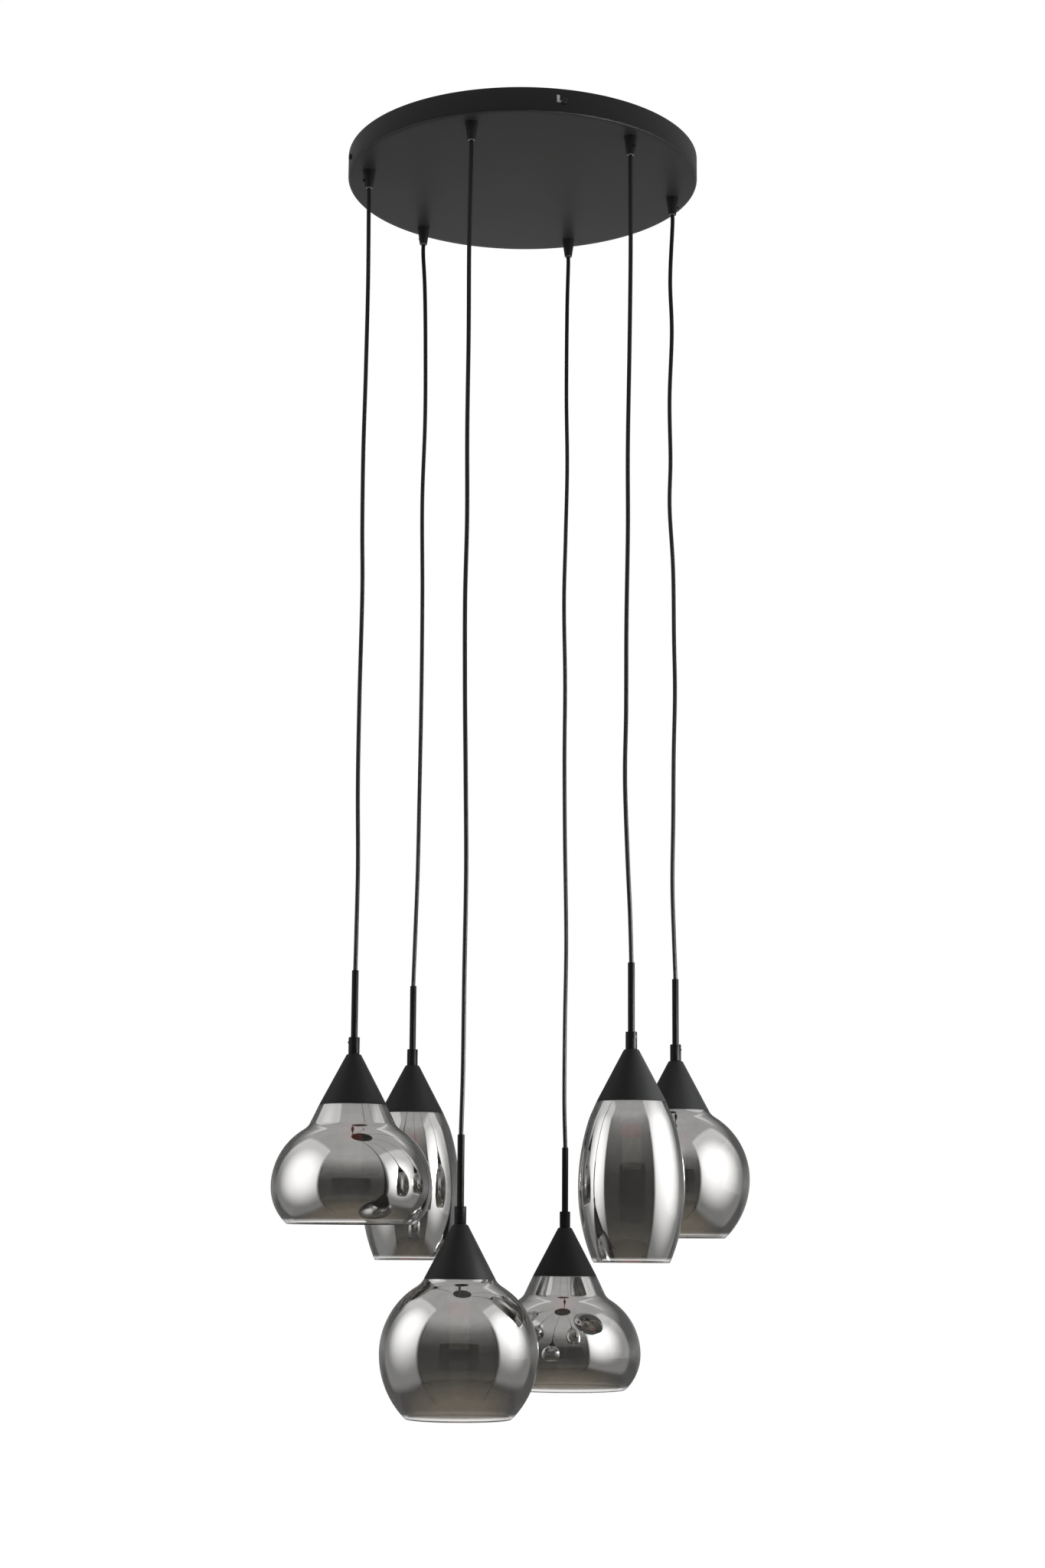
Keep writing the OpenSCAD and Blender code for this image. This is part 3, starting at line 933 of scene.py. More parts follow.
@dataclass(frozen=True)
class Phosphor:
    """Yellow phosphor in a diode's window, with a fine mottle. Lit is the strength of a painted glow, though
    the bulb is off.
    """

    name: str
    colour: Colour = (0.85, 0.5, 0.05)
    shades: Point = (0.8, 1.15)
    mottle: float = 1800.0
    roughness: float = 0.25
    lit: float = 0.7

    def material(self) -> bpy.types.Material:
        """Makes the phosphor's material.

        Returns:
            The material.
        """
        shader, made = Shader.of_material(self.name)
        mottle = shader.noise(self.mottle)
        shader.surface(
            Base_Color=shader.shaded(self.colour, self.shades, mottle),
            Roughness=self.roughness + mottle * 0.1,
            # Painted glow: the unlit diodes shine faintly so that they show through the smoked glass.
            Emission_Color=(*self.colour, 1.0),
            Emission_Strength=self.lit)
        return made


class Finishes:
    """Every material of the light, made once."""

    def __init__(self) -> None:
        """Makes the materials."""
        self.plate = PowderCoat(
            "plate_powder_coat", (0.016, 0.016, 0.0161), roughness=0.46, grain=900.0, gloss=0.3).material()
        self.cone = PowderCoat(
            "cone_powder_coat", (0.0195, 0.0198, 0.0199), roughness=0.56, grain=1300.0, gloss=0.12).material()
        self.stem = PowderCoat(
            "stem_powder_coat", (0.014, 0.014, 0.0143), roughness=0.4, grain=1500.0, gloss=0.08).material()
        self.grip = PowderCoat(
            "grip_powder_coat", (0.014, 0.014, 0.0142), roughness=0.45, grain=1300.0, gloss=0.3).material()
        self.cord = CordSheath("cord_sheath", (0.007, 0.007, 0.0072)).material()
        self.holder = Moulded("lampholder_plastic", (0.02, 0.02, 0.021), 0.4).material()
        self.collar = Moulded("collar_nylon", (0.33, 0.36, 0.41), 0.4).material()
        self.block = Moulded("terminal_plastic", (0.74, 0.70, 0.62), 0.5, milky=0.1).material()
        # The bulb is off, but its base, red sleeve and board get a painted glow so that they show through the
        # smoked glass.
        self.ceramic = Moulded("bulb_base_plastic", (0.80, 0.78, 0.74), 0.35, milky=0.1, lit=0.4).material()
        self.sleeve = Moulded("bulb_red_sleeve", (0.55, 0.10, 0.06), 0.4, lit=1.0).material()
        self.board = Moulded("diode_board", (0.66, 0.64, 0.58), 0.4, lit=0.4).material()
        self.zinc = Plated("zinc_plate", (0.92, 0.93, 0.94), 0.55).material()
        self.nickel = Plated("nickel_cap", (0.72, 0.69, 0.63), 0.25, patches=300.0).material()
        self.brass = Plated("brass_screw", (0.78, 0.56, 0.25), 0.25, patches=400.0).material()
        self.black_oxide = Plated("black_oxide", (0.05, 0.05, 0.052), 0.42, patches=500.0).material()
        self.glass = SmokedMirrorGlass("smoked_mirror_glass").material()
        self.cover = ClearPlastic("bulb_cover_plastic").material()
        self.phosphor = Phosphor("diode_phosphor").material()


def dressed(piece: bpy.types.Object, material: bpy.types.Material, body: str, slot: str,
            *nodes: str) -> bpy.types.Object:
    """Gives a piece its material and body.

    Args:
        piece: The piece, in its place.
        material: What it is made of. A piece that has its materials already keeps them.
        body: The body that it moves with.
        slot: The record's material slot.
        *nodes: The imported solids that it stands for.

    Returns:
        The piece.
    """
    if not piece.data.materials:
        piece.data.materials.append(material)
    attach(piece, body)
    if nodes:
        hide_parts(*nodes)
    LOG.info("%s: %d faces on %s", piece.name, len(piece.data.polygons), body)
    return piece


def only_mirrored(piece: bpy.types.Object) -> None:
    """Makes a piece of the studio show in reflections alone.

    Args:
        piece: The piece.
    """
    piece.visible_camera = False
    piece.visible_diffuse = False
    piece.visible_transmission = False
    piece.visible_shadow = False


@dataclass(frozen=True)
class Softbox:
    """A tall soft lamp beside the camera, seen only in reflections.

    Its near end is nearer to the viewer than its far end. The cloth is lit dimly, and brighter by the rise
    towards its top. It has a hot spot that fades out all round, and the spot may have a hotter core. The
    spot's place and size are shares of the cloth, from its middle.
    """

    name: str
    near: Point
    far: Point
    low: float = -2.3
    high: float = -0.1
    core: float = 0.0
    strength: float = 1.9
    dim: float = 0.33
    rise: float = 0.75
    frame: float = 0.012
    spot: Point = (-0.22, -0.03)
    spot_size: Point = (0.3, 0.2)

    def build(self) -> None:
        """Makes the lamp's panel with its dark frame."""
        Bench.clear()
        bpy.ops.mesh.primitive_grid_add(x_subdivisions=8, y_subdivisions=8, size=1)
        panel = bpy.context.view_layer.objects.active
        panel.name = self.name
        near, far = Vector((*self.near, self.low)), Vector((*self.far, self.high))
        middle = (near + far) / 2
        run = (far - near).xy.to_3d()
        across = run.normalized()
        facing = across.cross(Vector((0, 0, 1)))
        panel.matrix_world = Matrix((
            (across.x * run.length, 0, facing.x, middle.x),
            (across.y * run.length, 0, facing.y, middle.y),
            (0, self.high - self.low, 0, middle.z),
            (0, 0, 0, 1)))
        shader, made = Shader.of_material(self.name)
        x, y, _ = shader.axes()
        aside = (x - self.spot[0]) * (1 / self.spot_size[0])
        above = (y - self.spot[1]) * (1 / self.spot_size[1])
        away = (aside * aside + above * above).root()
        rim = self.frame / run.length - 0.5
        cloth = x.between(rim, rim + 0.06)
        edge = x.between(0.5, 0.3) * (0.5 - abs(y)).between(0.0, 0.1)
        spot = away.between(1.7, 0.1) * self.strength + away.between(0.5, 0.2) * self.core
        shader.glowing(self.dim + y.between(-0.1, 0.25) * self.rise + spot, cloth * edge)
        panel.data.materials.append(made)
        only_mirrored(panel)


@dataclass(frozen=True)
class LampStand:
    """The thin dark stand of a soft lamp, seen only in reflections."""

    name: str
    place: Point
    foot: float = -2.44
    top: float = -1.0
    hub: float = 0.28
    spread: float = 0.34
    legs: int = 3
    pole: float = 0.007
    leg: float = 0.0056

    def build(self, finish: bpy.types.Material) -> None:
        """Makes the pole and its legs.

        Args:
            finish: What the stand is made of.
        """
        x, y = self.place
        start = Vector((x, y, self.foot + self.hub))
        bottom = self.foot + self.hub / 2
        parts = [Bench.drum("pole", self.pole, self.top - bottom, (x, y, (self.top + bottom) / 2), 12)]
        for leg in range(self.legs):
            angle = leg * math.tau / self.legs + math.pi / 6
            reach = Vector((self.spread * math.cos(angle), self.spread * math.sin(angle), -self.hub))
            Bench.clear()
            bpy.ops.mesh.primitive_cylinder_add(
                vertices=10, radius=self.leg, depth=reach.length, location=start + reach / 2,
                rotation=reach.to_track_quat("Z", "Y").to_euler())
            parts.append(Bench.named("leg"))
        stand = Bench.joined(self.name, parts)
        stand.data.materials.append(finish)
        only_mirrored(stand)


@dataclass(frozen=True)
class AreaLamp:
    """A broad soft lamp that lights the object and isn't seen itself."""

    name: str
    place: Place
    power: float
    size: float = 1.8
    aim: Place = (0.0, 0.0, -1.4)

    def build(self) -> None:
        """Makes the lamp."""
        data = bpy.data.lights.new(self.name, "AREA")
        data.size = self.size
        data.energy = self.power
        lamp = bpy.data.objects.new(self.name, data)
        bpy.context.scene.collection.objects.link(lamp)
        lamp.location = self.place
        ahead = Vector(self.aim) - Vector(self.place)
        lamp.rotation_euler = ahead.to_track_quat("-Z", "Y").to_euler()
        lamp.visible_camera = False
        lamp.visible_glossy = False


@dataclass(frozen=True)
class Studio:
    """Camera, floor, lamps and world, and the dim room that the glass mirrors.

    The tones of the room go from its lowest point, 0, to its highest, 1.
    """

    camera_place: Place = (0.01928, -3.56658, -1.53862)
    focal_length: float = 60.28
    pitch: float = 0.1747
    yaw: float = -0.0039
    roll: float = 0.0064
    floor_height: float = -4.6
    floor_radius: float = 5.2
    floor_colours: tuple[Colour, Colour] = ((0.83, 0.825, 0.81), (0.87, 0.865, 0.85))
    floor_lift: Colour = (0.33, 0.33, 0.325)
    room_radius: float = 6.0
    room_middle: float = -1.55
    front_tones: Tones = (
        (0.00, (0.25, 0.215, 0.17)), (0.07, (0.25, 0.215, 0.17)), (0.117, (0.19, 0.17, 0.135)),
        (0.17, (0.155, 0.142, 0.116)), (0.24, (0.09, 0.082, 0.068)), (0.35, (0.038, 0.034, 0.028)),
        (0.50, (0.02, 0.02, 0.02)), (0.578, (0.038, 0.038, 0.037)), (0.655, (0.11, 0.108, 0.106)),
        (0.735, (0.21, 0.207, 0.204)), (0.81, (0.44, 0.435, 0.43)), (0.86, (0.60, 0.60, 0.60)))
    back_tones: Tones = (
        (0.04, (0.25, 0.215, 0.17)), (0.20, (0.11, 0.105, 0.10)), (0.40, (0.10, 0.10, 0.10)),
        (0.50, (0.28, 0.28, 0.28)), (0.60, (0.12, 0.12, 0.12)), (0.72, (0.12, 0.12, 0.12)),
        (0.86, (0.60, 0.60, 0.60)))
    softboxes: tuple[Softbox, ...] = (
        Softbox("softbox_left", (-0.78, -0.72), (-1.15, 0.75)),
        Softbox("softbox_right", (0.70, -0.74), (1.12, 0.72), strength=2.25, core=80.0))
    lamps: tuple[AreaLamp, ...] = (
        AreaLamp("lamp_left", (-2.2, -0.5, -1.3), 1.5),
        AreaLamp("lamp_right", (2.2, 0.3, -1.0), 30.0))

    def build(self) -> None:
        """Makes the whole studio."""
        self._camera()
        self._floor()
        self._room()
        self._backdrop()
        self._doorway()
        self._world()
        for lamp in self.lamps:
            lamp.build()
        black = Moulded("stand_black", (0.004, 0.004, 0.004), 0.6).material()
        for softbox in self.softboxes:
            softbox.build()
            LampStand(f"{softbox.name}_stand", softbox.near).build(black)

    def _camera(self) -> None:
        """Sets the camera at the photograph's place, angle and lens."""
        data = bpy.data.cameras.new("camera")
        data.lens = self.focal_length
        data.sensor_width = 36.0
        data.clip_end = 50.0
        camera = bpy.data.objects.new("camera", data)
        bpy.context.scene.collection.objects.link(camera)
        ahead = Vector((
            math.sin(self.yaw) * math.cos(self.pitch),
            math.cos(self.yaw) * math.cos(self.pitch),
            math.sin(self.pitch)))
        level = Vector((math.cos(self.yaw), -math.sin(self.yaw), 0.0))
        upright = level.cross(ahead)
        right = level * math.cos(self.roll) + upright * math.sin(self.roll)
        top = right.cross(ahead)
        turn = Matrix((right, top, -ahead)).transposed()
        camera.matrix_world = Matrix.Translation(self.camera_place) @ turn.to_4x4()
        bpy.context.scene.camera = camera

    def _floor(self) -> None:
        """Lays a plain pale floor below the light, which the camera sees paler still."""
        Bench.clear()
        bpy.ops.mesh.primitive_circle_add(
            vertices=96, radius=self.floor_radius, fill_type="NGON", location=(0, 0, self.floor_height))
        floor = Bench.named("studio_floor")
        shader, made = Shader.of_material("studio_floor")
        first, second = self.floor_colours
        seen = Field(shader, shader.node("ShaderNodeLightPath").outputs["Is Camera Ray"])
        shader.surface(
            Base_Color=shader.mixed((*first, 1.0), (*second, 1.0), shader.noise(1.5)),
            Roughness=0.7,
            Specular_IOR_Level=0.2,
            Emission_Color=shader.mixed((0.0, 0.0, 0.0, 1.0), (*self.floor_lift, 1.0), seen),
            Emission_Strength=1.0)
        floor.data.materials.append(made)
        floor.visible_glossy = False

    def _room(self) -> None:
        """The dim room round the set, which the glass mirrors: grey ceiling, dark middle, beige floor."""
        Bench.clear()
        bpy.ops.mesh.primitive_uv_sphere_add(
            segments=48, ring_count=24, radius=self.room_radius, location=(0, 0, self.room_middle))
        room = bpy.context.view_layer.objects.active
        room.name = "studio_room"
        shader, made = Shader.of_material("studio_room")
        _, y, z = shader.axes()
        height = z * (0.5 / self.room_radius) + 0.5
        front, back = (
            shader.node("ShaderNodeValToRGB", {"stops": tones}, {"Fac": height}).outputs[0]
            for tones in (self.front_tones, self.back_tones))
        behind = y.between(-0.5 * self.room_radius, 0.1 * self.room_radius)
        clutter = 0.85 + shader.noise(0.8) * 0.3
        colour = shader.node(
            "ShaderNodeVectorMath", {"operation": "MULTIPLY"},
            {0: shader.mixed(front, back, behind), 1: shader.grey(clutter)})
        light = shader.node("ShaderNodeEmission", None, {"Color": colour.outputs[0]})
        shader.node("ShaderNodeOutputMaterial", None, {"Surface": light.outputs[0]})
        room.data.materials.append(made)
        only_mirrored(room)

    @staticmethod
    def _card(name: str, place: Place, size: Point) -> tuple[Shader, Field, Field]:
        """Adds an upright card that faces the viewer and shows in reflections alone.

        Args:
            name: Name of the card.
            place: Its middle.
            size: Its width and height.

        Returns:
            The shader of its material, and how far a point is along the card and up it, from -0.5 to 0.5.
        """
        Bench.clear()
        bpy.ops.mesh.primitive_plane_add(size=1, location=place, rotation=(math.pi / 2, 0, 0))
        card = bpy.context.view_layer.objects.active
        card.name = name
        card.scale = (*size, 1.0)
        shader, made = Shader.of_material(name)
        card.data.materials.append(made)
        only_mirrored(card)
        along, up, _ = shader.axes()
        return shader, along, up

    def _backdrop(self) -> None:
        """The bright upper part of the backdrop behind the light, which the plate's underside mirrors."""
        shader, along, up = self._card("studio_backdrop", (0, 0.95, -0.2), (2.6, 0.5))
        shader.glowing(1.05, up.between(-0.5, 0.1) * (0.5 - abs(along)).between(0.0, 0.2))

    def _doorway(self) -> None:
        """The dark doorway behind the camera, in the middle of every reflection."""
        shader, along, up = self._card("studio_doorway", (0.1, -5.0, -1.8), (5.2, 3.3))
        opening = (0.5 - abs(along)).between(0.0, 0.03) * (0.5 - abs(up)).between(0.0, 0.05)
        shader.glowing(0.002 + up.between(0.1, -0.5) * 0.02, opening)

    def _world(self) -> None:
        """A white background, and soft daylight that comes more from below and behind than from the front."""
        world = bpy.data.worlds.new("studio_world")
        bpy.context.scene.world = world
        shader = Shader(world)
        _, y, z = shader.axes(shader.node("ShaderNodeTexCoord").outputs["Generated"])
        diffuse = Field(shader, shader.node("ShaderNodeLightPath").outputs["Is Diffuse Ray"])
        soft = 0.2 + y.between(-0.7, 0.3) * 0.5 + z.between(0.2, -0.6) * 0.4
        ambient = shader.node("ShaderNodeBackground", None, {"Color": shader.grey(soft), "Strength": 1.0})
        white = shader.node("ShaderNodeBackground", None, {"Color": (1.0, 1.0, 1.0, 1.0), "Strength": 1.0})
        seen = shader.node(
            "ShaderNodeMixShader", None, {0: diffuse, 1: white.outputs[0], 2: ambient.outputs[0]})
        shader.node("ShaderNodeOutputWorld", None, {"Surface": seen.outputs[0]})


@dataclass(frozen=True)
class PendantCord:
    """The flex of one pendant, from its grip down into its rod."""

    layout: Layout
    pendant: Pendant
    diameter: float = 0.0058
    end: float = 0.0545
    bend: float = 0.02
    steps: int = 8
    rings: int = 10

    def _knots(self) -> list[Vector]:
        """Route points: straight out of the grip, through the waves, and straight into the rod.

        Returns:
            The points.
        """
        grip = self.layout.grip(self.pendant.number)
        mouth = self.layout.mouth
        foot = self.layout.rod_top - self.pendant.level.value
        lead = self.diameter * 3
        ends = [mouth + lead, mouth, mouth - lead]
        tail = [foot + self.diameter, foot - self.diameter, foot - lead]
        waves = [Vector(wave) * 0.001 for wave in self.pendant.waves]
        knots = [Vector((0, 0, z)) for z in ends] + waves + [Vector((0, 0, z)) for z in tail]
        return [Vector((grip.x, grip.y, 0.0)) + knot for knot in knots]

    def _centreline(self) -> list[Vector]:
        """Points close together on the same smooth curve, for the cord's length.

        Returns:
            The points.
        """
        knots = self._knots()
        line: list[Vector] = []
        for before, start, end, after in zip(knots, knots[1:], knots[2:], knots[3:]):
            for step in range(self.steps):
                t = step / self.steps
                line.append(0.5 * (
                    2 * start + (end - before) * t + (2 * before - 5 * start + 4 * end - after) * t ** 2
                    + (3 * start - before - 3 * end + after) * t ** 3))
        return line + [knots[-2], self._end()]

    def _end(self) -> Vector:
        """Where the cord ends, in the nipple over the lampholder."""
        return self.layout.base(self.pendant) + Vector((0.0, 0.0, self.end))

    def _tube(self, name: str) -> bpy.types.Object:
        """Draws the smooth route, and gives it the cord's thickness.

        Args:
            name: Name of the cord.

        Returns:
            The cord.
        """
        knots = self._knots()
        route, end = knots[1:-1], self._end()
        Bench.clear()
        bpy.ops.curve.primitive_bezier_curve_add(location=(0, 0, 0))
        curve = bpy.context.view_layer.objects.active.data
        curve.resolution_u = self.rings
        spline = curve.splines[0]
        spline.bezier_points.add(len(route) - 1)
        for k, knot in enumerate(route + [end]):
            point = spline.bezier_points[k]
            slope = (knots[k + 2] - knots[k]) / 6 if k < len(route) else (end - route[-1]) / 6
            point.handle_left_type = "FREE"
            point.handle_right_type = "FREE"
            point.co = knot
            point.handle_left = knot - slope
            point.handle_right = knot + slope
        return Bench.tube(name, self.diameter / 2)

    def build(self, finishes: Finishes) -> None:
        """Args:
            finishes: The light's materials.
        """
        number = self.pendant.number
        cord = self._tube(f"flex_{number}")
        cord.data.materials.append(finishes.cord)
        line = self._centreline()
        length = sum((after - before).length for before, after in zip(line, line[1:]))
        mouth = self.layout.grip(number) + Vector((0, 0, self.layout.mouth))
        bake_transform(cord)
        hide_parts(f"cord_{number}")
        LOG.info("%s: %.3f m of flex", cord.name, length)


@dataclass(frozen=True)
class CeilingPlate:
    """The pan on the ceiling, with L-shaped slots for its side screws.

    Its flat face is drawn as rings, which keep its faces small.
    """

    layout: Layout
    edge: float = 0.003
    lip: float = 0.0004
    rings: tuple[float, ...] = (0.0, 0.06, 0.12, 0.18, 0.235)
    wall: float = 0.24
    stud_hole: float = 0.0051
    slot_half: float = 0.00235
    slot_foot: float = 0.0082
    slot_leg: float = 0.0103
    slot_depth: float = 0.008
    slots: int = 4

    def build(self, finishes: Finishes) -> None:
        """Makes the pan.

        Args:
            finishes: The light's materials.
        """
        lay = self.layout
        outer, inner = lay.plate_radius, lay.plate_radius - lay.plate_sheet
        bottom, floor = lay.plate_bottom, lay.plate_floor
        underside = [(r, bottom) for r in self.rings]
        wall = filleted([
            (self.wall, bottom, 0), (outer, bottom, self.edge), (outer, lay.plate_top, self.lip),
            (inner, lay.plate_top, self.lip), (inner, floor, self.edge - lay.plate_sheet),
            (self.wall, floor, 0)], closed=False, steps=8)
        inside = [(r, floor) for r in reversed(self.rings)]
        pan = Bench.turned("ceiling_pan", underside + wall + inside, 240, closed=False, degrees=30)
        for pendant in PENDANTS:
            spot = lay.grip(pendant.number)
            Bench.cut(pan, Bench.drum("hole", self.stud_hole, 0.006, (spot.x, spot.y, floor - 0.001)))
        for slot in range(self.slots):
            Bench.cut(pan, self._slot_tool(lay.arm_angle + slot * math.tau / self.slots))
        Bench.smooth(pan)
        dressed(pan, finishes.plate, "plate", "black_metal", "ceiling_plate")

    def _slot_tool(self, angle: float) -> bpy.types.Object:
        """A solid in the slot's L shape, through the plate's wall.

        Args:
            angle: Direction of the slot from the plate's middle, in radians.

        Returns:
            The solid.
        """
        half, foot = self.slot_half, self.slot_foot
        tool = Bench.box("slot", (self.slot_depth, foot + half, half * 2), (0, -(foot + half) / 2, 0))
        Bench.edit(tool)
        bpy.ops.mesh.bisect(plane_co=(0, -foot + half, 0), plane_no=(0, 1, 0))
        Bench.pick(tool, lambda face: face.normal.z > 0.9 and face.calc_center_median().y < -foot + half)
        bpy.ops.mesh.extrude_region_move(TRANSFORM_OT_translate={"value": (0, 0, self.slot_leg - half)})
        bpy.ops.object.mode_set(mode="OBJECT")
        end = Bench.drum("slot_end", half, self.slot_depth, (0, 0, 0), 24, lying=True)
        Bench.combined(tool, end, "UNION")
        tool.rotation_euler = (0, 0, angle)
        reach = self.layout.plate_radius - self.layout.plate_sheet / 2
        tool.location = (reach * math.cos(angle), reach * math.sin(angle), self.layout.side_screw_z)
        Bench.take(tool)
        return Bench.named("slot")


@dataclass(frozen=True)
class CeilingHardware:
    """What stays on the ceiling: bracket, side screws, earth screw and terminal block."""

    nodes: dict[str, Any]

    def build(self, finishes: Finishes) -> None:
        """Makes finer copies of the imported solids.

        Args:
            finishes: The light's materials.
        """
        for node, edge, material, slot in (
                ("mounting_bracket", 0.0004, finishes.zinc, "zinc_steel"),
                ("side_screws", 0.00025, finishes.black_oxide, "black_screw"),
                ("earth_screw", 0.0002, finishes.brass, "brass"),
                ("terminal_block", 0.0004, finishes.block, "ivory_plastic")):
            dressed(Bench.refined(self.nodes[node], f"fine_{node}", edge), material, "bracket", slot, node)


@dataclass(frozen=True)
class CordGrips:
    """The six conical grips under the plate, with their collars, screws, nuts and cord tails."""

    layout: Layout
    height: float = 0.026
    top_radius: float = 0.009
    end_radius: float = 0.0054
    bore: float = 0.00315
    stud_radius: float = 0.005
    stud_height: float = 0.01
    threads: int = 8
    thread_depth: float = 0.0005
    collar_radius: float = 0.0046
    collar_height: float = 0.007
    nut_radius: float = 0.00808
    nut_height: float = 0.003
    screw_radius: float = 0.0015
    screw_tip: float = 0.00295
    screw_slot: Place = (0.006, 0.0006, 0.0016)
    tail_radius: float = 0.0029
    tail_start: float = 0.0032
    tail_bend: float = 0.008
    tail_end: float = 0.08

    def build(self, finishes: Finishes) -> None:
        """Makes one of each piece, and copies it to all six places.

        Args:
            finishes: The light's materials.
        """
        for model, name, material, slot, node in (
                (self._grip(), "grip", finishes.grip, "black_metal", "cord_grips"),
                (self._collar(), "collar", finishes.collar, "ivory_plastic", "grip_collars"),
                (self._screw(), "clamp_screw", finishes.black_oxide, "black_metal", "grip_screws"),
                (self._nut(), "nut", finishes.zinc, "zinc_steel", "grip_nuts"),
                (self._tail(), "tail", finishes.cord, "black_cord", "cord_tails")):
            copies = []
            for pendant in PENDANTS:
                number = pendant.number
                copies.append(Bench.copied(
                    model, f"{name}_{number}", self.layout.grip(number), self.layout.grip_angle(number)))
            Bench.drop(model)
            whole = Bench.joined(f"{name}s", copies)
            dressed(whole, material, "plate", slot, node)

    def _grip(self) -> bpy.types.Object:
        """A cone with a threaded stud on it, a bore, and a side hole for its screw.

        Returns:
            The grip.
        """
        mouth, plate = self.layout.mouth, self.layout.plate_bottom
        seat, seat_top = self.collar_radius + PLAY, mouth + self.collar_height
        top = self.layout.plate_floor + self.stud_height
        corners = [
            (self.end_radius, mouth, 0.0004), (self.top_radius, plate, 0.0003),
            (self.stud_radius - 0.0002, plate, 0)]
        start = self.layout.plate_floor + 0.0002
        pitch = (top - 0.0004 - start) / self.threads
        for turn in range(self.threads):
            low = start + turn * pitch
            corners += [
                (self.stud_radius - self.thread_depth, low, 0), (self.stud_radius, low + pitch / 2, 0)]
        corners += [
            (self.stud_radius - 0.0006, top, 0.0002), (self.bore, top, 0.0002), (self.bore, seat_top, 0),
            (seat, seat_top, 0), (seat, mouth, 0.0002)]
        grip = Bench.turned("grip", filleted(corners, steps=3), 48)
        middle = (self.top_radius / 2, 0, self._screw_height())
        Bench.cut(grip, Bench.drum("hole", self.screw_radius + PLAY, self.top_radius, middle, 20, lying=True))
        Bench.smooth(grip)
        return grip

    def _screw_height(self) -> float:
        """Height of a clamping screw's middle."""
        return self.layout.mouth + self.collar_height + self.screw_radius * 2 + 0.001

    def _collar(self) -> bpy.types.Object:
        """A pale ring in the grip's mouth, with round lips.

        Returns:
            The collar.
        """
        low, high = self.layout.mouth, self.layout.mouth + self.collar_height
        return Bench.turned("collar", filleted([
            (self.bore, low, 0.0006), (self.collar_radius, low, 0.0005), (self.collar_radius, high, 0.0002),
            (self.bore, high, 0.0002)], steps=4), 40)

    def _screw(self) -> bpy.types.Object:
        """A clamping screw with a slot, drawn upright and then laid outwards.

        Returns:
            The screw.
        """
        height = self._screw_height()
        above = height + self.screw_radius * 2 - self.layout.mouth
        head = self.end_radius + (self.top_radius - self.end_radius) * above / self.height
        wide, end = self.screw_radius * 1.5, head + self.screw_radius * 1.2
        line = filleted([
            (0, self.screw_tip, 0), (self.screw_radius, self.screw_tip, 0.0003), (self.screw_radius, head, 0),
            (wide, head, 0.0002), (wide, end, 0.0007), (0, end, 0)], closed=False, steps=4)
        screw = Bench.turned("screw", line, 28, closed=False)
        Bench.cut(screw, Bench.box("slot", self.screw_slot, (0, 0, end)))
        return Bench.laid(screw, "screw", height)

    def _nut(self) -> bpy.types.Object:
        """A hexagon nut with its corners turned off.

        Returns:
            The nut.
        """
        floor = self.layout.plate_floor
        top = floor + self.nut_height
        nut = Bench.drum("nut", self.nut_radius, self.nut_height, (0, 0, floor + self.nut_height / 2), 6)
        turning = filleted([
            (0, floor - 0.001, 0), (0.0105, floor - 0.001, 0), (self.nut_radius + 0.0006, floor + 0.0016, 0),
            (self.nut_radius - 0.0012, top, 0), (0, top, 0)], closed=False)
        Bench.combined(nut, Bench.turned("turning", turning, 48, closed=False), "INTERSECT")
        Bench.cut(nut, Bench.drum("hole", self.stud_radius + PLAY, 0.01, (0, 0, floor), 40))
        Bench.bevelled(nut, 0.0002)
        return nut

    def _tail(self) -> bpy.types.Object:
        """The cord's end inside the plate: up through the stud, round a bend and inwards.

        Returns:
            The tail.
        """
        start = self.layout.mouth + self.tail_start
        level = self.layout.plate_floor + self.stud_height + self.tail_bend + 0.001
        reach = self.layout.ring_radius - self.tail_end
        points = [Vector((0, 0, start)), Vector((0, 0, level - self.tail_bend))]
        for step in range(1, 9):
            angle = step * math.pi / 16
            points.append(Vector((
                -self.tail_bend + self.tail_bend * math.cos(angle), 0,
                level - self.tail_bend + self.tail_bend * math.sin(angle))))
        points += [Vector((-reach * 0.55, 0, level)), Vector((-reach, 0, level))]
        Bench.clear()
        bpy.ops.curve.primitive_bezier_curve_add(location=(0, 0, 0))
        splines = bpy.context.view_layer.objects.active.data.splines
        splines.clear()
        spline = splines.new("POLY")
        spline.points.add(len(points) - 1)
        for spot, point in zip(points, spline.points):
            point.co = (*spot, 1.0)
        return Bench.tube("tail", self.tail_radius)


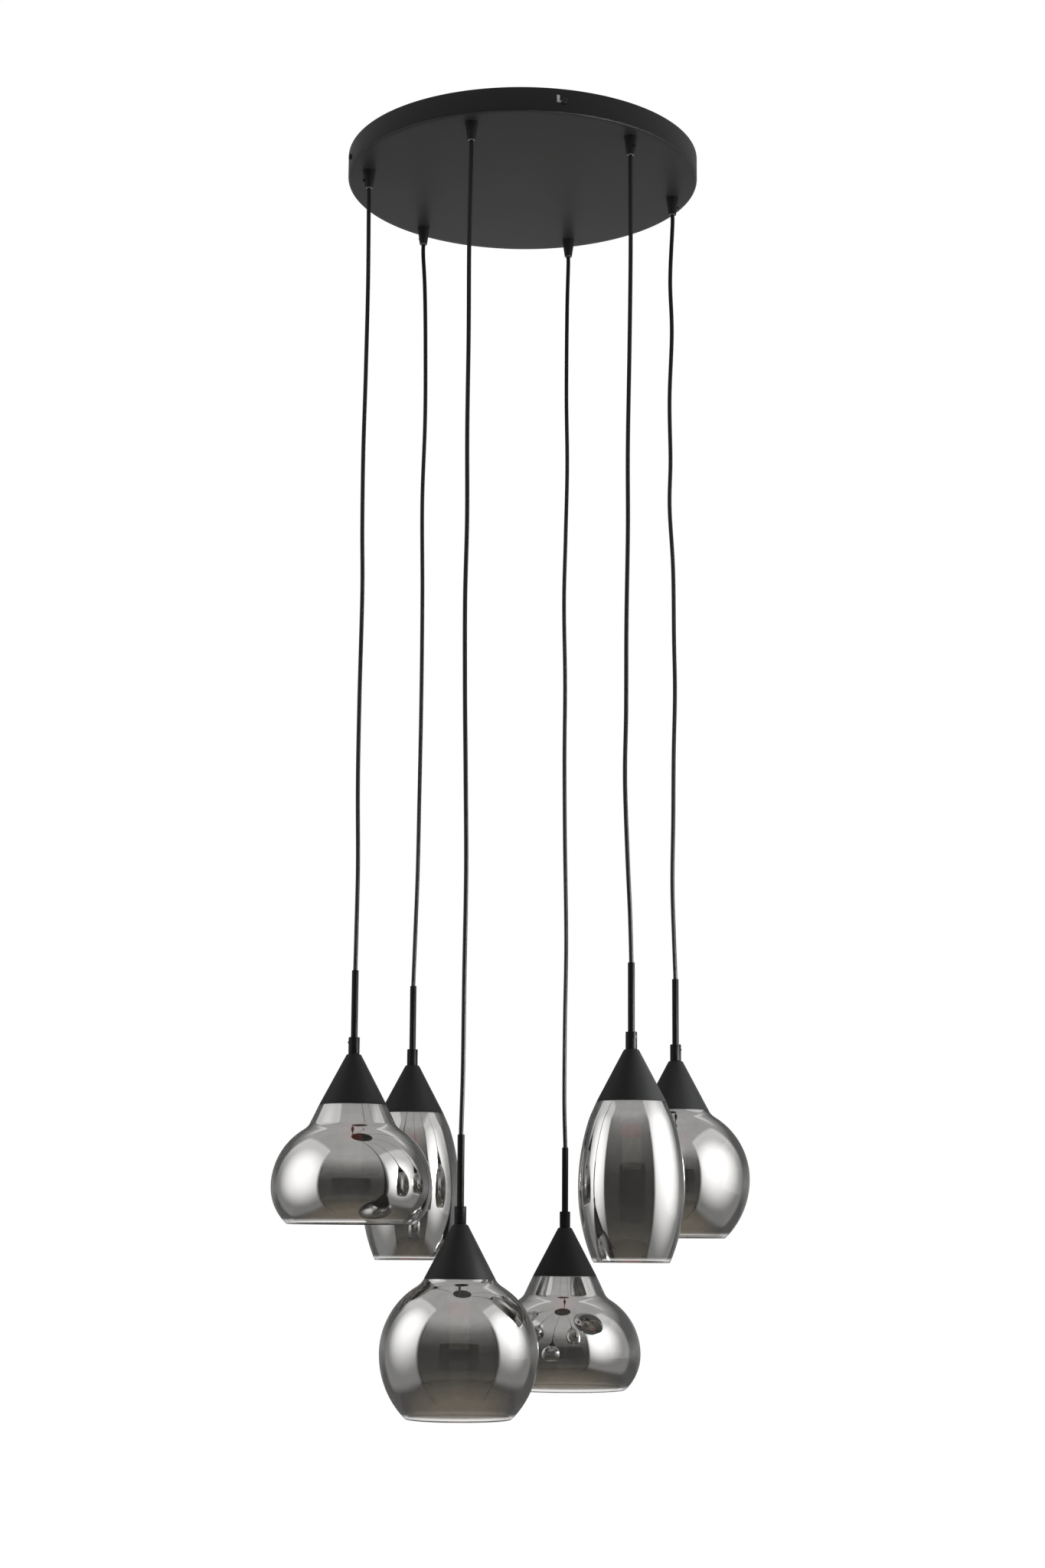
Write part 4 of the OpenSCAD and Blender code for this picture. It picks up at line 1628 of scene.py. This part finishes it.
@dataclass(frozen=True)
class Stem:
    """The rod over the cord, the coupling under it, and the coupling's set screw."""

    rod_radius: float = 0.0045
    rod_top: float = Layout.rod_top
    rod_bottom: float = 0.076
    bore: float = CordGrips.bore
    coupling_radius: float = 0.0075
    coupling_bottom: float = 0.0675
    coupling_top: float = 0.09
    nipple_radius: float = CordGrips.stud_radius
    nipple_bottom: float = PendantCord.end
    screw_radius: float = CordGrips.screw_radius
    screw_height: float = 0.083
    screw_proud: float = 0.0008
    socket_radius: float = 0.0008

    def rod(self) -> bpy.types.Object:
        """A thin tube with a turned-in upper lip.

        Returns:
            The rod.
        """
        return Bench.turned("rod", filleted([
            (self.bore, self.rod_bottom, 0), (self.rod_radius, self.rod_bottom, 0),
            (self.rod_radius, self.rod_top, 0.0009), (self.bore, self.rod_top, 0.0003)], steps=5), 40)

    def coupling(self) -> bpy.types.Object:
        """A sleeve with a seat for the rod, a nipple below, and a hole for the set screw.

        Returns:
            The coupling.
        """
        seat = self.rod_radius + PLAY
        corners = [
            (self.bore, self.nipple_bottom, 0.0002), (self.nipple_radius, self.nipple_bottom, 0.0005),
            (self.nipple_radius, self.coupling_bottom, 0),
            (self.coupling_radius, self.coupling_bottom, 0.0005),
            (self.coupling_radius, self.coupling_top, 0.0007), (seat, self.coupling_top, 0.0003),
            (seat, self.rod_bottom, 0), (self.bore, self.rod_bottom, 0)]
        sleeve = Bench.turned("coupling", filleted(corners, steps=4), 56)
        middle = (self.coupling_radius, 0, self.screw_height)
        Bench.cut(sleeve, Bench.drum("hole", self.screw_radius + PLAY, 0.006, middle, 20, lying=True))
        Bench.smooth(sleeve)
        return sleeve

    def screw(self) -> bpy.types.Object:
        """A set screw with a hexagon socket, drawn upright and then laid outwards.

        Returns:
            The set screw.
        """
        tip, end = self.rod_radius + 0.00001, self.coupling_radius + self.screw_proud
        line = filleted([
            (0, tip, 0), (self.screw_radius, tip, 0), (self.screw_radius, end, 0.0003), (0, end, 0)],
            closed=False, steps=3)
        screw = Bench.turned("set_screw", line, 24, closed=False)
        Bench.cut(screw, Bench.drum("socket", self.socket_radius, 0.0024, (0, 0, end), 6))
        return Bench.laid(screw, "set_screw", self.screw_height)


@dataclass(frozen=True)
class ConeCap:
    """A thin cone with a round shoulder and a soft lower edge, over the lampholder."""

    base_radius: float = 0.045
    top_radius: float = 0.0112
    height: float = 0.0675
    sheet: float = 0.0012
    shoulder: float = 0.0035
    hole: float = 0.0051

    def build(self) -> bpy.types.Object:
        """Makes the cone.

        Returns:
            The cone.
        """
        slope = (self.base_radius - self.top_radius) / (self.height - self.shoulder)
        side = self.sheet * math.sqrt(1 + slope * slope)
        apex = self.base_radius - self.height * slope
        inner_top = self.height - self.sheet
        inner_apex = self.base_radius - side - inner_top * slope
        corners = [
            (self.hole, self.height, 0), (apex, self.height, self.shoulder * 1.25),
            (self.base_radius, 0, 0.0004), (self.base_radius - side, 0, 0.0003),
            (inner_apex, inner_top, self.shoulder), (self.hole, inner_top, 0)]
        return Bench.turned("cone", filleted(corners, steps=8), 144)


@dataclass(frozen=True)
class Lampholder:
    """Moulded lampholder with its thread, and the two rings that clamp the glass."""

    radius: float = 0.014
    cap_radius: float = 0.0075
    top: float = 0.0663
    neck: float = 0.0517
    bottom: float = -0.012
    thread_top: float = 0.022
    hole: float = 0.00505
    mouth: float = 0.012
    seat: float = -0.0077
    bore: float = 0.00725
    socket_top: float = 0.0126
    ridges: int = 10
    ridge_depth: float = 0.0008
    ring_radius: float = 0.0215
    glass: float = 0.0026
    upper_ring: float = 0.004
    lower_ring: float = 0.007
    rib_degrees: float = 10

    def holder(self) -> bpy.types.Object:
        """The holder, with ridges of thread where the rings go.

        Returns:
            The holder.
        """
        roof = self.socket_top + 0.003
        corners = [
            (0, self.socket_top, 0), (0, roof, 0), (self.hole, roof, 0), (self.hole, self.top, 0.0003),
            (self.cap_radius, self.top, 0.0006), (self.radius, self.neck, 0.003),
            (self.radius, self.thread_top, 0.0003)]
        pitch = (self.thread_top - self.bottom - 0.004) / self.ridges
        for ridge in range(self.ridges):
            high = self.thread_top - ridge * pitch
            corners += [
                (self.radius - self.ridge_depth, high - pitch * 0.3, 0.0003),
                (self.radius, high - pitch * 0.8, 0.0003)]
        corners += [
            (self.radius, self.bottom, 0.0006), (self.mouth, self.bottom, 0.0003), (self.mouth, self.seat, 0),
            (self.bore, self.seat, 0.0003), (self.bore, self.socket_top, 0), (0, self.socket_top, 0)]
        return Bench.turned("holder", filleted(corners, closed=False, steps=3), 64, closed=False)

    def rings(self) -> bpy.types.Object:
        """Both rings, with grip ribs round their rims.

        Returns:
            Both rings in one piece.
        """
        inner, outer = self.radius + PLAY * 2, self.ring_radius
        upper = Bench.turned("upper", filleted([
            (inner, 0.0, 0.0002), (outer, 0.0, 0.0005), (outer, self.upper_ring, 0.0008),
            (inner, self.upper_ring, 0.0005)], steps=3), 72)
        top, low = -self.glass, -self.glass - self.lower_ring
        waist, hub = (top + low) / 2, (inner + outer) / 2
        lower = Bench.turned("lower", filleted([
            (inner, top, 0.0002), (outer, top, 0.0005), (outer, waist, 0.0008), (hub, waist - 0.0002, 0.0004),
            (hub, low, 0.0005), (inner, low, 0.0003)], steps=3), 72)
        for ring in (upper, lower):
            Bench.edit(ring)
            Bench.pick(ring, self._on_rib)
            bpy.ops.mesh.inset(thickness=0.0002, use_individual=True)
            bpy.ops.mesh.extrude_faces_move(TRANSFORM_OT_shrink_fatten={"value": -0.0004})
            bpy.ops.object.mode_set(mode="OBJECT")
        return Bench.joined("rings", [upper, lower])

    def _on_rib(self, face: bmesh.types.BMFace) -> bool:
        """Whether a face is a groove between two ribs on a ring's rim.

        Args:
            face: The face.

        Returns:
            Whether it is a groove.
        """
        middle = face.calc_center_median()
        turn = math.degrees(math.atan2(middle.y, middle.x)) % self.rib_degrees
        out = math.hypot(middle.x, middle.y) > self.ring_radius - 0.0003
        return out and abs(face.normal.z) < 0.2 and turn < self.rib_degrees / 2


@dataclass(frozen=True)
class GlassShade:
    """A blown shade: a neck that carries on the cone's slope, a belly, and an open, fire-polished rim."""

    flare: float
    neck: float
    belly_radius: float
    belly: float
    rim_radius: float
    height: float
    cone_radius: float = ConeCap.base_radius
    glass: float = Lampholder.glass
    soft: float = 0.005
    bore: float = 0.0141
    lip: float = 0.0055
    lip_blend: float = 0.0008
    steps: int = 28

    @staticmethod
    def of(shape: Shape) -> "GlassShade":
        """The shade of a shape.

        Args:
            shape: The form of the shade.

        Returns:
            The shade's sizes.
        """
        return {
            Shape.GLOBE: GlassShade(math.radians(26), 0.006, 0.1, 0.092, 0.066, 0.172),
            Shape.ONION: GlassShade(math.radians(25.5), 0.03, 0.107, 0.108, 0.085, 0.157),
            Shape.TALL: GlassShade(math.radians(24), 0.02, 0.0685, 0.11, 0.049, 0.204),
        }[shape]

    @staticmethod
    def _arc(start: Point, end: Point, low: float, high: float, steps: int) -> list[Point]:
        """A circular arc that is upright at its end point.

        Args:
            start: A point on the arc.
            end: The point where it is upright.
            low: Height at which the points begin.
            high: Height at which they finish.
            steps: Straight pieces between them.

        Returns:
            The points.
        """
        big = ((end[0] - start[0]) ** 2 + (end[1] - start[1]) ** 2) / (2 * (end[0] - start[0]))
        first = math.asin((low - end[1]) / big)
        last = math.asin((high - end[1]) / big)
        angles = [first + (last - first) * k / steps for k in range(steps + 1)]
        return [(end[0] - big + big * math.cos(a), end[1] + big * math.sin(a)) for a in angles]

    def _outer(self) -> list[Point]:
        """The outer line, from the top of the neck to the rim.

        Returns:
            The points.
        """
        slope = math.tan(self.flare)
        corner = (self.cone_radius + self.neck * slope, -self.neck)
        widest = (self.belly_radius, -self.belly)
        rim = (self.rim_radius, -self.height)
        start = (self.cone_radius + (self.neck - self.soft) * slope, self.soft - self.neck)
        turn_z = -self.neck - self.soft
        turn = self._arc(corner, widest, turn_z, widest[1], 1)[0]
        bend = []
        for t in (step / 6 for step in range(6)):
            bend.append(tuple(
                (1 - t) ** 2 * a + 2 * t * (1 - t) * b + t * t * c for a, b, c in zip(start, corner, turn)))
        upper = self._arc(corner, widest, turn_z, widest[1], self.steps)
        lower = self._arc(rim, widest, widest[1], rim[1], self.steps)
        return bend + upper + lower[1:]

    def _inner(self, outer: Sequence[Point]) -> list[Point]:
        """The outer line moved inwards by the glass's thickness.

        Args:
            outer: The outer line.

        Returns:
            The inner line.
        """
        line = []
        for k, (r, z) in enumerate(outer):
            ahead = outer[min(k + 1, len(outer) - 1)]
            back = outer[max(k - 1, 0)]
            step = Vector((ahead[0] - back[0], ahead[1] - back[1])).normalized()
            line.append((r + step.y * self.glass, z - step.x * self.glass))
        return line

    def build(self, name: str) -> bpy.types.Object:
        """Makes the shade.

        Args:
            name: Name of the piece.

        Returns:
            The shade, with the middle of its shoulder at the origin.
        """
        outer = self._outer()
        inner = [point for point in self._inner(outer) if point[1] < -self.glass - 0.0001]
        a, b = Vector(outer[-1]), Vector(inner[-1])
        middle, out = (a + b) / 2, (a - b) / 2
        down = Vector((-out.y, out.x))
        down = -down if down.y > 0 else down
        rim = []
        for step in range(1, 8):
            angle = step * math.pi / 8
            spot = middle + out * math.cos(angle) + down * math.sin(angle)
            rim.append((spot.x, spot.y))
        lift = max(0.0, -self.height - min(point[1] for point in rim))
        rim = [(r, z + lift) for r, z in rim]
        outer[-1] = (outer[-1][0], outer[-1][1] + lift)
        inner[-1] = (inner[-1][0], inner[-1][1] + lift)
        slope = math.tan(self.flare)
        top = self.cone_radius + self.glass * slope - self.glass / math.cos(self.flare)
        shoulder = filleted([
            (self.bore, -self.glass, 0), (self.bore, 0.0, 0.0008), (self.cone_radius, 0.0, 0.0008),
            (outer[0][0], outer[0][1], 0)], closed=False, steps=4)[:-1]
        ceiling = filleted([
            (inner[0][0], inner[0][1], 0), (top, -self.glass, 0.0015), (self.bore, -self.glass, 0)],
            closed=False, steps=4)[1:-1]
        shade = Bench.turned(name, shoulder + outer + rim + inner[::-1] + ceiling, 160, degrees=50)
        self._coat(shade)
        return shade

    def _coat(self, shade: bpy.types.Object) -> None:
        """Writes how much of the mirror coat each vertex has: none on the lip, all of it above.

        Args:
            shade: The shade.
        """
        coat = shade.data.attributes.new("coat", "FLOAT", "POINT")
        for vertex, value in zip(shade.data.vertices, coat.data):
            above = vertex.co.z + self.height - self.lip
            value.value = min(1.0, max(0.0, above / self.lip_blend + 0.5))


@dataclass(frozen=True)
class LedBulb:
    """A barrel bulb: screw cap, plastic base, red sleeve, board with diodes, and a clear cover."""

    radius: float = 0.01575
    reach: float = 0.09
    edge: float = 0.004
    wall: float = 0.0009
    neck_radius: float = 0.0114
    neck_top: float = -0.008
    neck_end: float = -0.013
    flare: float = -0.022
    seam: float = -0.0265
    spigot_end: float = -0.029
    spigot_step: float = 0.0013
    cap_radius: float = 0.007
    cap_top: float = 0.01
    cap_turns: int = 4
    tip: float = 0.012
    barrel_radius: float = 0.0118
    sleeve_top: float = -0.0288
    sleeve_end: float = -0.0465
    sleeve_wall: float = 0.0008
    board_top: float = -0.046
    cover_top: float = -0.0262
    diode: Place = (0.0012, 0.0032, 0.0032)
    rows: int = 5
    per_row: int = 12
    first_row: float = -0.0505
    row_pitch: float = 0.0078

    def build(self, finishes: Finishes) -> dict[str, tuple[bpy.types.Object, bpy.types.Material]]:
        """Makes the bulb's pieces about the origin.

        Args:
            finishes: The light's materials.

        Returns:
            Each piece with its material, by its name.
        """
        return {
            "bulb_base": (self._base(), finishes.ceramic),
            "bulb_cap": (self._cap(), finishes.nickel),
            "bulb_sleeve": (self._sleeve(), finishes.sleeve),
            "bulb_board": (self._board(), finishes.board),
            "bulb_diodes": (self._diodes(finishes), finishes.board),
            "bulb_cover": (self._cover(), finishes.cover),
        }

    def _base(self) -> bpy.types.Object:
        """The plastic base, which flares from the neck to the cover, with a spigot in the cover's mouth.

        Returns:
            The base.
        """
        spigot = self.radius - self.spigot_step
        return Bench.turned("base", filleted([
            (0, self.neck_top, 0), (self.neck_radius, self.neck_top, 0.0008),
            (self.neck_radius, self.neck_end, 0.001), (self.radius, self.flare, 0.0012),
            (self.radius, self.seam, 0.0003), (spigot, self.seam, 0), (spigot, self.spigot_end, 0.0004),
            (0, self.spigot_end, 0)], closed=False, steps=4), 72, closed=False)

    def _cap(self) -> bpy.types.Object:
        """The metal cap with its rounded thread and contact.

        Returns:
            The cap.
        """
        collar, root = self.cap_radius - 0.0003, self.cap_radius - 0.0009
        bottom, shoulder = self.neck_top - 0.0004, self.cap_top - 0.0016
        corners = [(0, bottom, 0), (collar, bottom, 0), (collar, self.neck_top + 0.0025, 0.0003)]
        start = self.neck_top + 0.0032
        pitch = (shoulder - start) / self.cap_turns
        for turn in range(self.cap_turns):
            low = start + turn * pitch
            corners += [(root, low, 0.0008), (self.cap_radius, low + pitch / 2, 0.0009)]
        corners += [
            (root, shoulder, 0.0005), (0.0052, self.cap_top - 0.0002, 0.0005),
            (0.0026, self.cap_top + 0.0004, 0.0004), (0.0023, self.tip, 0.0009), (0, self.tip, 0)]
        return Bench.turned("cap", filleted(corners, closed=False, steps=4), 56, closed=False, degrees=50)

    def _sleeve(self) -> bpy.types.Object:
        """The red sleeve between base and board.

        Returns:
            The sleeve.
        """
        outer = self.barrel_radius + self.sleeve_wall
        return Bench.turned("sleeve", filleted([
            (0, self.sleeve_top, 0), (outer, self.sleeve_top, 0), (outer, self.sleeve_end, 0.0008),
            (0, self.sleeve_end, 0)], closed=False, steps=4), 60, closed=False)

    def _board(self) -> bpy.types.Object:
        """The round board with its end plate.

        Returns:
            The board.
        """
        end = -self.reach + 0.0035
        plate, below = self.barrel_radius - 0.003, end + 0.0006
        return Bench.turned("board", filleted([
            (0, self.board_top, 0), (self.barrel_radius, self.board_top, 0),
            (self.barrel_radius, end, 0.0012), (plate, end, 0), (plate, below, 0), (0, below, 0)],
            closed=False, steps=4), 60, closed=False)

    def _diodes(self, finishes: Finishes) -> bpy.types.Object:
        """Rows of square diodes, each row half a step on from the last.

        Args:
            finishes: The light's materials.

        Returns:
            All the rows in one piece.
        """
        diode = Bench.box("diode", self.diode, (self.barrel_radius + 0.0004, 0, 0))
        diode.data.materials.append(finishes.board)
        diode.data.materials.append(finishes.phosphor)
        Bench.bevelled(diode, 0.0003, 1)
        Bench.edit(diode)
        Bench.pick(diode, lambda face: face.normal.x > 0.9)
        bpy.ops.mesh.inset(thickness=0.0003)
        diode.active_material_index = 1
        bpy.ops.object.material_slot_assign()
        bpy.ops.transform.translate(value=(-0.0002, 0, 0))
        bpy.ops.mesh.select_all(action="SELECT")
        bpy.ops.mesh.spin(
            steps=self.per_row, angle=math.tau, center=(0, 0, 0), axis=(0, 0, 1), dupli=True,
            use_auto_merge=False)
        bpy.ops.mesh.select_all(action="SELECT")
        bpy.ops.mesh.remove_doubles(threshold=0.00001)
        bpy.ops.object.mode_set(mode="OBJECT")
        rows = []
        for row in range(self.rows):
            height = self.first_row - row * self.row_pitch
            turn = math.pi / self.per_row * (row % 2)
            rows.append(Bench.copied(diode, f"row_{row}", Vector((0, 0, height)), turn))
        Bench.drop(diode)
        return Bench.joined("diodes", rows)

    def _cover(self) -> bpy.types.Object:
        """The clear cover, with a wall and a rounded end.

        Returns:
            The cover.
        """
        top, low = self.cover_top, -self.reach
        inner, floor = self.radius - self.wall, low + self.wall
        line = filleted([
            (0, low, 0), (self.radius, low, self.edge), (self.radius, top, 0.0002), (inner, top, 0.0002),
            (inner, floor, self.edge - self.wall), (0, floor, 0)], closed=False, steps=7)
        return Bench.turned("cover", line, 72, closed=False, degrees=50)


@dataclass(frozen=True)
class PendantSet:
    """The six hanging pendants, from the rods down to the bulbs."""

    layout: Layout

    def build(self, finishes: Finishes) -> None:
        """Makes one of each piece, and copies it to every pendant.

        Args:
            finishes: The light's materials.
        """
        stem, cone, holder = Stem(), ConeCap(), Lampholder()
        models = (
            (stem.rod(), "stem_rod", finishes.stem, "black_metal", "rod"),
            (stem.coupling(), "stem_coupling", finishes.stem, "black_metal", "coupling"),
            (stem.screw(), "set_screw", finishes.black_oxide, "black_screw", None),
            (cone.build(), "cone", finishes.cone, "black_metal", "cone_cap"),
            (holder.holder(), "holder", finishes.holder, "black_plastic", "lampholder"),
            (holder.rings(), "rings", finishes.holder, "black_plastic", "shade_rings"))
        for model, name, material, slot, node in models:
            for pendant in PENDANTS:
                number = pendant.number
                piece = Bench.copied(
                    model, f"{name}_{number}", self.layout.base(pendant), self.layout.grip_angle(number))
                nodes = [f"{node}_{number}"] if node else []
                dressed(piece, material, f"pendant_{number}", slot, *nodes)
            Bench.drop(model)
        self._shades(finishes)
        self._bulbs(finishes)

    def _shades(self, finishes: Finishes) -> None:
        """Makes the six glass shades.

        Args:
            finishes: The light's materials.
        """
        for shape in Shape:
            model = GlassShade.of(shape).build(shape.value)
            for pendant in PENDANTS:
                if pendant.shape is shape:
                    number = pendant.number
                    shade = Bench.copied(model, f"shade_{shape.value}_{number}", self.layout.base(pendant))
                    dressed(shade, finishes.glass, f"pendant_{number}", "smoked_glass", f"glass_{number}")
            Bench.drop(model)

    def _bulbs(self, finishes: Finishes) -> None:
        """Makes the six bulbs, each turned a little further than the last.

        Args:
            finishes: The light's materials.
        """
        for name, (model, material) in LedBulb().build(finishes).items():
            for pendant in PENDANTS:
                number = pendant.number
                turn = math.radians(20 * number)
                piece = Bench.copied(model, f"{name}_{number}", self.layout.base(pendant), turn)
                nodes = [f"bulb_{number}"] if name == "bulb_base" else []
                dressed(piece, material, f"led_bulb_{number}", "bulb_plastic", *nodes)
            Bench.drop(model)


def main() -> None:
    """Builds the scene."""
    logging.basicConfig(level=logging.INFO, format="%(message)s")
    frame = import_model()
    bpy.context.scene.view_settings.view_transform = "Standard"
    layout = Layout()
    finishes = Finishes()
    Studio().build()
    for pendant in PENDANTS:
        PendantCord(layout, pendant).build(finishes)
    CeilingHardware(frame["nodes"]).build(finishes)
    CeilingPlate(layout).build(finishes)
    CordGrips(layout).build(finishes)
    PendantSet(layout).build(finishes)


if __name__ == "__main__":
    main()
